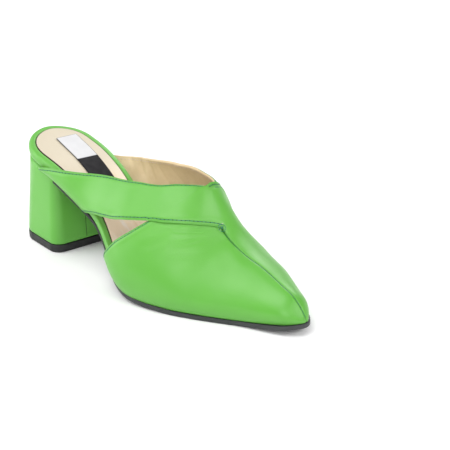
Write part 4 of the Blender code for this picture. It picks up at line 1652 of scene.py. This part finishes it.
@dataclass
class CrossedUpper:
    """The two pieces of leather that make the upper: one lies over the other at the crossing.

    Attributes:
        along: spans along a strap.
        across: spans across the outer strap.
        short: spans across the inner strap.
        rear: spans along the rear edge of the vamp.
        toe: spans from the crossing to the toe.
        thin: thickness of the covering piece where it lies on the other, in walls.
        ease_up: how far the front edge of the outer strap stands off the vamp, in millimetres.
        stand_width: how wide it stands off.
        spill: share of the way to the toe over which the inner vamp comes down from the crossing.
        feather: spans beside the seam over which it gets its full thickness again.
        calm: spans beside the crossing, strength and rounds of the evening of the strap.
    """

    along: int = 84
    across: int = 40
    short: int = 30
    rear: int = 34
    toe: int = 96
    thin: float = 0.62
    ease_up: float = 0.55
    stand_width: float = 5.0
    spill: float = 0.36
    feather: float = 7.0
    calm: tuple[float, float, int] = (5.0, 0.5, 14)

    def towards_toe(self) -> Array:
        """Marks from the crossing to the toe, closer together at the toe."""
        u = np.linspace(0, 1, self.toe + 1)
        return np.sin((0.3 * u + 0.7 * u * u) * math.pi / 2)

    def grids(self) -> dict[str, Array]:
        """Grids of places on the last for the five fields of leather.

        Returns:
            The grids by name.
        """
        across, short = spread(self.across), spread(self.short)
        outer_rear, inner_front = marked(CROSSING_OUTER_REAR, across), marked(CROSSING_INNER_FRONT, across)
        outer_front, inner_rear = marked(CROSSING_OUTER_FRONT, short), marked(CROSSING_INNER_REAR, short)
        even = np.linspace(0, 1, self.along + 1)
        over_rear, over_front = marked(OVER_STRAP_REAR, even), marked(OVER_STRAP_FRONT, even)
        under_rear, under_front = marked(UNDER_STRAP_REAR, even)[::-1], marked(UNDER_STRAP_FRONT, even)[::-1]
        sole_out = over_rear[0] + (over_front[0] - over_rear[0]) * across[:, None]
        sole_in = under_front[0] + (under_rear[0] - under_front[0]) * short[:, None]
        bend, rear = self.towards_toe(), np.linspace(0, 1, self.rear + 1)
        seam = marked(CENTRE_SEAM, bend)
        start = VAMP_REAR_OUTER[0][0]
        sole_line = start + (LAST.length - start) * bend
        vamps = []
        for share, rows, front in ((0.0, VAMP_REAR_OUTER, outer_front),
                                   (1.0, VAMP_REAR_INNER, inner_front[::-1])):
            edge = np.concatenate([marked(rows, rear), front[1:]])
            tip = np.stack([np.full(len(edge), LAST.length), np.linspace(share, 0.5, len(edge))], -1)
            vamps.append(filled(edge, tip, np.stack([sole_line, 0 * sole_line + share], -1), seam))
        return {
            "over_strap": filled(sole_out, outer_rear[::-1], over_rear, over_front),
            "under_strap": filled(sole_in, inner_rear[::-1], under_front, under_rear),
            "crossing": filled(outer_front, inner_rear, outer_rear, inner_front),
            "outer_vamp": vamps[0][:, ::-1],
            "inner_vamp": vamps[1],
        }

    def bodies(self) -> tuple[LeatherBody, LeatherBody]:
        """The covering and the covered piece.

        Returns:
            The two bodies, shaped.
        """
        grids = self.grids()
        stand = self.stand_off(grids)
        side = np.ones(grids["inner_vamp"].shape[1])
        side[:self.rear + 1] = ease(np.linspace(0, 1, self.rear + 1))
        spill = ease(1 - self.towards_toe() / self.spill)[:, None] * side[None]
        feathered = spill * ease(np.arange(len(side))[::-1] / self.feather)[None]
        climb = ease(np.linspace(0, 1, self.along + 1))[:, None]

        def patch(name: str, up: Array | float, thinned: Array | float, *borders: Border) -> LeatherPatch:
            """Patch that rises and thins as far as it lies on the other piece.

            Args:
                name: name of its grid.
                up: how far it rises, 0 to 1.
                thinned: how far it thins, 0 to 1.
                *borders: its closed borders.

            Returns:
                The patch.
            """
            flat = 0 * grids[name][..., 0]
            raised = stand[name] if np.any(up) else flat
            thick = 1 - (1 - self.thin) * thinned
            return LeatherPatch(grids[name], LIFT_SHARE * up + flat, thick + flat, borders, raised)

        over = LeatherBody("upper_over", [
            patch("over_strap", climb, climb, REAR_EDGE, FRONT_EDGE, Border(Side.FIRST_ROW, EdgeKind.SOLE)),
            patch("crossing", 1, 1, FIRST_EDGE, LAST_EDGE),
            patch("inner_vamp", spill, feathered, self.vamp_edge(over=True),
                  Border(Side.FIRST_COLUMN, EdgeKind.SOLE), Border(Side.LAST_COLUMN, EdgeKind.BUTTED)),
        ], LINING_CREASES, folded_green=0.9)
        under = LeatherBody("upper_under", [
            patch("under_strap", 0, 0, REAR_EDGE, replace(FRONT_EDGE, reach=0.35),
                  Border(Side.FIRST_ROW, EdgeKind.SOLE)),
            patch("crossing", 0, 0, Border(Side.FIRST_COLUMN, EdgeKind.BUTTED),
                  Border(Side.LAST_COLUMN, EdgeKind.BUTTED)),
            patch("outer_vamp", 0, 0, self.vamp_edge(over=False), Border(Side.LAST_COLUMN, EdgeKind.SOLE),
                  Border(Side.FIRST_COLUMN, EdgeKind.BUTTED)),
        ], VAMP_CREASES + LINING_CREASES)
        over.shape()
        self.calm_joint(*over.patches[:2])
        under.shape()
        return over, under

    def vamp_edge(self, over: bool) -> Border:
        """Folded rear edge of the covering or the covered half of the vamp."""
        return replace(FIRST_EDGE, stop=self.rear + 1) if over else replace(FIRST_EDGE, start=self.short)

    def stand_off(self, grids: dict[str, Array]) -> dict[str, Array]:
        """Extra height of the covering piece beside its front edge.

        Args:
            grids: the grids by name.

        Returns:
            Heights over the grids of the covering piece.
        """
        line = on_last(CROSSING_OUTER_FRONT, 120)
        found = {}
        for name in ("over_strap", "crossing", "inner_vamp"):
            grid = grids[name]
            away, along = near_line(LAST.leather(grid[..., 0], grid[..., 1], 0.0), line)
            rise = ease(along / 0.10) * ease((1 - along) / 0.55)
            found[name] = self.ease_up * rise * np.exp(-(away / self.stand_width) ** 2)
        return found

    def calm_joint(self, strap: LeatherPatch, crossing: LeatherPatch) -> None:
        """Evens the faces of the outer strap where it runs on over the crossing.

        Args:
            strap: the strap.
            crossing: the crossing.
        """
        reach, strength, rounds = self.calm
        index = np.arange(self.along + 1 + self.short) - self.along
        share = strength * np.exp(-(index / reach) ** 2)[1:-1, None, None]
        for face in ("top", "under"):
            beyond = np.swapaxes(getattr(crossing, face)[::-1], 0, 1)
            sheet = np.concatenate([getattr(strap, face), beyond[1:]])
            for _ in range(rounds):
                sheet[1:-1] += share * ((sheet[:-2] + sheet[2:]) / 2 - sheet[1:-1])
            setattr(strap, face, sheet[:self.along + 1])
            setattr(crossing, face, np.swapaxes(sheet[self.along:], 0, 1)[::-1])

    def build(self, green: Material, lining: Material, threads: Sequence[Material]) -> list[Object]:
        """Builds both pieces and all their stitches.

        Args:
            green: leather of the outer face.
            lining: leather of the inner face.
            threads: thread of the outer face, thread of the lining and the painted shade in the holes between the
                stitches.

        Returns:
            The three objects.
        """
        over, under = self.bodies()
        items = []
        for body in (over, under):
            item = body.build(green, lining)
            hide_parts("upper")
            items.append(item)
        item = self.stitches(over, under).finish("upper_stitches", threads)
        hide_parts("upper")
        return [*items, item]

    def stitches(self, over: LeatherBody, under: LeatherBody) -> MeshDraft:
        """Sews both pieces.

        Args:
            over: the covering piece.
            under: the covered piece.

        Returns:
            All stitches.
        """
        strap, crossing, inner_vamp = over.patches
        far_strap, _, outer_vamp = under.patches
        draft, thread = MeshDraft(), Thread()
        for line, ends in (
                (joined(over.row_line(strap, REAR_EDGE), over.row_line(crossing, LAST_EDGE)), 1.2),
                (joined(over.row_line(strap, FRONT_EDGE), over.row_line(crossing, FIRST_EDGE)), 0.4),
                (under.row_line(outer_vamp, self.vamp_edge(over=False)), 0.4),
                (over.row_line(inner_vamp, self.vamp_edge(over=True)), 1.2),
                (under.row_line(far_strap, REAR_EDGE), 1.2),
                (under.row_line(far_strap, FRONT_EDGE), 1.2)):
            thread.row(draft, line, ends=ends)
        lining_thread = Thread(pitch=2.4, length=1.5, hole=0.0)
        for body, patch, border in ((under, far_strap, FRONT_EDGE), (under, far_strap, REAR_EDGE),
                                    (over, strap, REAR_EDGE), (over, strap, FRONT_EDGE)):
            lining_thread.row(draft, body.row_line(patch, border, lining=True), slot=1)
        seam_thread = Thread(pitch=1.7, length=1.1, radius=0.20, sunk=-0.18, hole=0.24)
        seam_thread.row(draft, (outer_vamp.top[:, 0], outer_vamp.normals[:, 1]), ends=3.0)
        KnotStitches().add(draft, thread)
        return draft


def joined(first: Line, second: Line) -> Line:
    """One line from two that follow each other.

    Args:
        first: points and directions of the first.
        second: points and directions of the second.

    Returns:
        The joined points and directions.
    """
    end = first[0][-1]
    if np.linalg.norm(end - second[0][0]) > np.linalg.norm(end - second[0][-1]):
        second = (second[0][::-1], second[1][::-1])
    return np.concatenate([first[0], second[0]]), np.concatenate([first[1], second[1]])


@dataclass(frozen=True)
class KnotStitches:
    """Ring of stitches that holds the crossing, with stitches across it and two beads of thread.

    Attributes:
        x: station of its middle.
        share: share of the way round of its middle.
        level: its height above the last's finished face.
        radius: radius of the ring.
        count: number of stitches in the ring.
        half_turn: half the angle that a stitch covers.
        inner: radius that the stitches across reach.
        across: angles of the stitches across.
        beads: angle, distance and size of the beads.
    """

    x: float = 168.8
    share: float = 0.467
    level: float = 1.25
    radius: float = 2.45
    count: int = 9
    half_turn: float = 0.27
    inner: float = 1.5
    across: tuple[float, float] = (0.5, 2.1)
    beads: Rows = ((2.6, 2.7, 0.45), (5.2, 1.9, 0.30))

    def directions(self) -> tuple[Array, Array, Array, Array]:
        """Middle of the ring and the directions there.

        Returns:
            The middle, along, around and square to the leather.
        """
        places = np.array([[0, 0], [1, 0], [0, 0.01]]) + (self.x, self.share)
        middle, ahead, beside = LAST.leather(places[:, 0], places[:, 1], self.level)
        along = unit(ahead - middle)
        square = unit(np.cross(beside - middle, along))
        return middle, along, np.cross(along, square), square

    def add(self, draft: MeshDraft, thread: Thread) -> None:
        """Adds the stitches.

        Args:
            draft: the mesh in the making.
            thread: their thread.
        """
        middle, along, beside, square = self.directions()

        def spot(turn: float, reach: float) -> Array:
            """Place at an angle and a distance from the middle."""
            return middle + reach * (along * math.cos(turn) + beside * math.sin(turn))

        for turn in 2 * math.pi * np.arange(self.count) / self.count:
            ends = (spot(turn + side * self.half_turn, self.radius) for side in (-1, 1))
            thread.stitch(draft, *ends, square)
        for turn in self.across:
            thread.stitch(draft, spot(turn, self.inner), spot(turn + math.pi, self.inner), square)
        for turn, reach, size in self.beads:
            bead = spot(turn, reach) + 0.15 * square
            draft.add(*rings_shape([
                circle(bead + square * lift * size, along, beside, math.sqrt(1 - lift * lift) * size, 10)
                for lift in np.linspace(-0.98, 0.98, 7)
            ]), 1)


@dataclass
class Studio:
    """White floor and soft lights.

    Attributes:
        floor_size: side of the floor in metres.
        floor_colour: its colour.
        floor_shade: share of that colour in its faint patches.
        world: strength of the light from all around.
        aim: height that the lights look at, in metres.
        lights: name, place, size and power of each light.
    """

    floor_size: float = 14.0
    floor_colour: Colour = (0.95, 0.95, 0.95)
    floor_shade: float = 0.97
    world: float = 0.05
    aim: float = 0.03
    lights: tuple[tuple[str, Triple, float, float], ...] = (
        ("left_softbox", (-1.00, -0.95, 0.60), 1.2, 15.5),
        ("left_back", (-1.20, 0.20, 0.80), 0.9, 4.5),
        ("overhead", (-0.08, -0.45, 1.35), 0.9, 10.5),
        ("front_fill", (0.90, -1.00, 0.80), 0.9, 10.0),
        ("right_fill", (1.20, 0.35, 0.80), 0.9, 11.0),
        ("back_rim", (-0.35, 1.10, 0.75), 0.9, 8.5),
    )

    def build_floor(self) -> None:
        """Builds the floor, marked as stage."""
        mesh = bpy.data.meshes.new("floor")
        half = self.floor_size / 2
        corners = [(-half, -half, 0), (half, -half, 0), (half, half, 0), (-half, half, 0)]
        mesh.from_pydata(corners, [], [(0, 1, 2, 3)])
        nodes = Nodes("floor_white")
        shade = tuple(self.floor_shade * value for value in self.floor_colour)
        colour = nodes.mixed(nodes.noise(3.0, 2.0), self.floor_colour, shade)
        roughness = nodes.ranged(nodes.noise(6.0, 2.0), 0.85, 0.95)
        relief = nodes.bump(nodes.noise(60.0), 0.00005, None, 0.1)
        mesh.materials.append(nodes.wear(colour, roughness, relief))
        floor = bpy.data.objects.new("floor", mesh)
        bpy.context.scene.collection.objects.link(floor)
        floor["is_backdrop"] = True

    def build(self) -> None:
        """Builds the floor, the surroundings and the square lights that look at the shoe."""
        self.build_floor()
        world = bpy.data.worlds.new("soft_white")
        world.use_nodes = True
        world.node_tree.nodes["Background"].inputs["Color"].default_value = (1.0, 1.0, 1.0, 1.0)
        world.node_tree.nodes["Background"].inputs["Strength"].default_value = self.world
        bpy.context.scene.world = world
        for name, place, size, power in self.lights:
            data = bpy.data.lights.new(name, "AREA")
            data.shape = "SQUARE"
            data.size = size
            data.energy = power
            item = bpy.data.objects.new(name, data)
            item.location = place
            away = Vector(place) - Vector((0.0, 0.0, self.aim))
            item.rotation_euler = away.to_track_quat("Z", "Y").to_euler()
            bpy.context.scene.collection.objects.link(item)


@dataclass(frozen=True)
class PhotoCamera:
    """Camera of the photograph, in metres, with the directions of its view and its lens in millimetres."""

    place: Triple = (0.6029268, -0.5995122, 0.4452979)
    right: Triple = (0.7384223, 0.6743386, 0.0)
    up: Triple = (-0.2920811, 0.3198382, 0.9013280)
    back: Triple = (0.6078003, -0.6655607, 0.4331371)
    lens: float = 116.500122
    sensor: float = 36.0
    clip: tuple[float, float] = (0.02, 50.0)

    def build(self) -> None:
        """Sets the camera of the scene."""
        data = bpy.data.cameras.new("photo_camera")
        data.lens = self.lens
        data.sensor_width = self.sensor
        data.clip_start, data.clip_end = self.clip
        item = bpy.data.objects.new("photo_camera", data)
        rows = [[self.right[k], self.up[k], self.back[k], self.place[k]] for k in range(3)]
        item.matrix_world = Matrix([*rows, [0.0, 0.0, 0.0, 1.0]])
        bpy.context.scene.collection.objects.link(item)
        bpy.context.scene.camera = item


def set_view() -> None:
    """Sets plain colour handling, so that tones stay as the finishes give them."""
    view = bpy.context.scene.view_settings
    view.view_transform = "Standard"
    view.look = "None"
    view.exposure = 0.0
    view.gamma = 1.0


def plain(box: Sequence[Sequence[float]]) -> list[list[float]]:
    """Low and high corner of a box as plain lists of numbers."""
    return [[round(float(value), 6) for value in corner] for corner in box]


def main() -> None:
    """Builds the shoe, the floor, the lights and the camera, and reports each piece."""
    logging.basicConfig(level=logging.INFO, format="%(name)s: %(message)s")
    wrap = GreenLeather("green_cover", drawn=False).make()
    # The holes' near-black material is painted shade inside the stitch holes
    threads = [TwistedThread(name, colour).make() for name, colour in (
        ("teal_thread", (0.030, 0.215, 0.130)), ("pale_thread", (0.66, 0.52, 0.46)),
        ("stitch_hole_shade", (0.006, 0.045, 0.036)))]
    sock_edge = SatinRubber("sock_edge", (0.050, 0.022, 0.016), rough=(260.0, 4.0, 0.45, 0.60))
    # The seam strip's near-black green is a painted shadow line down the heel breast
    seam_shadow_line = SatinRubber("seam_shadow_line", (0.012, 0.045, 0.010), rough=(260.0, 4.0, 0.50, 0.65))
    top_piece = SatinRubber("black_heel_rubber", (0.012, 0.013, 0.014), rough=(260.0, 4.0, 0.46, 0.66))
    heel = Heel()
    pieces = [
        *CrossedUpper().build(GreenLeather().make(), LiningLeather().make(), threads),
        *Footbed().build(wrap, SockLeather().make(), sock_edge.make(), PlainPlate().make()),
        heel.build_block(wrap, seam_shadow_line.make()),
        heel.build_top_piece(top_piece.make()),
        # The sole's darker shank is painted shade
        Outsole().build(SatinRubber("black_sole", waist_shade=(0.0, -0.030)).make()),
    ]
    for piece in pieces:
        LOG.info("%s: %d faces", piece.name, len(piece.data.polygons))
    Studio().build()
    PhotoCamera().build()
    set_view()
    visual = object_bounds()
    {"cad": plain(CAD_BOX), "visual": plain(visual)}
    LOG.info("boxes: %s %s", plain(CAD_BOX), plain(visual))


if __name__ == "__main__":
    main()
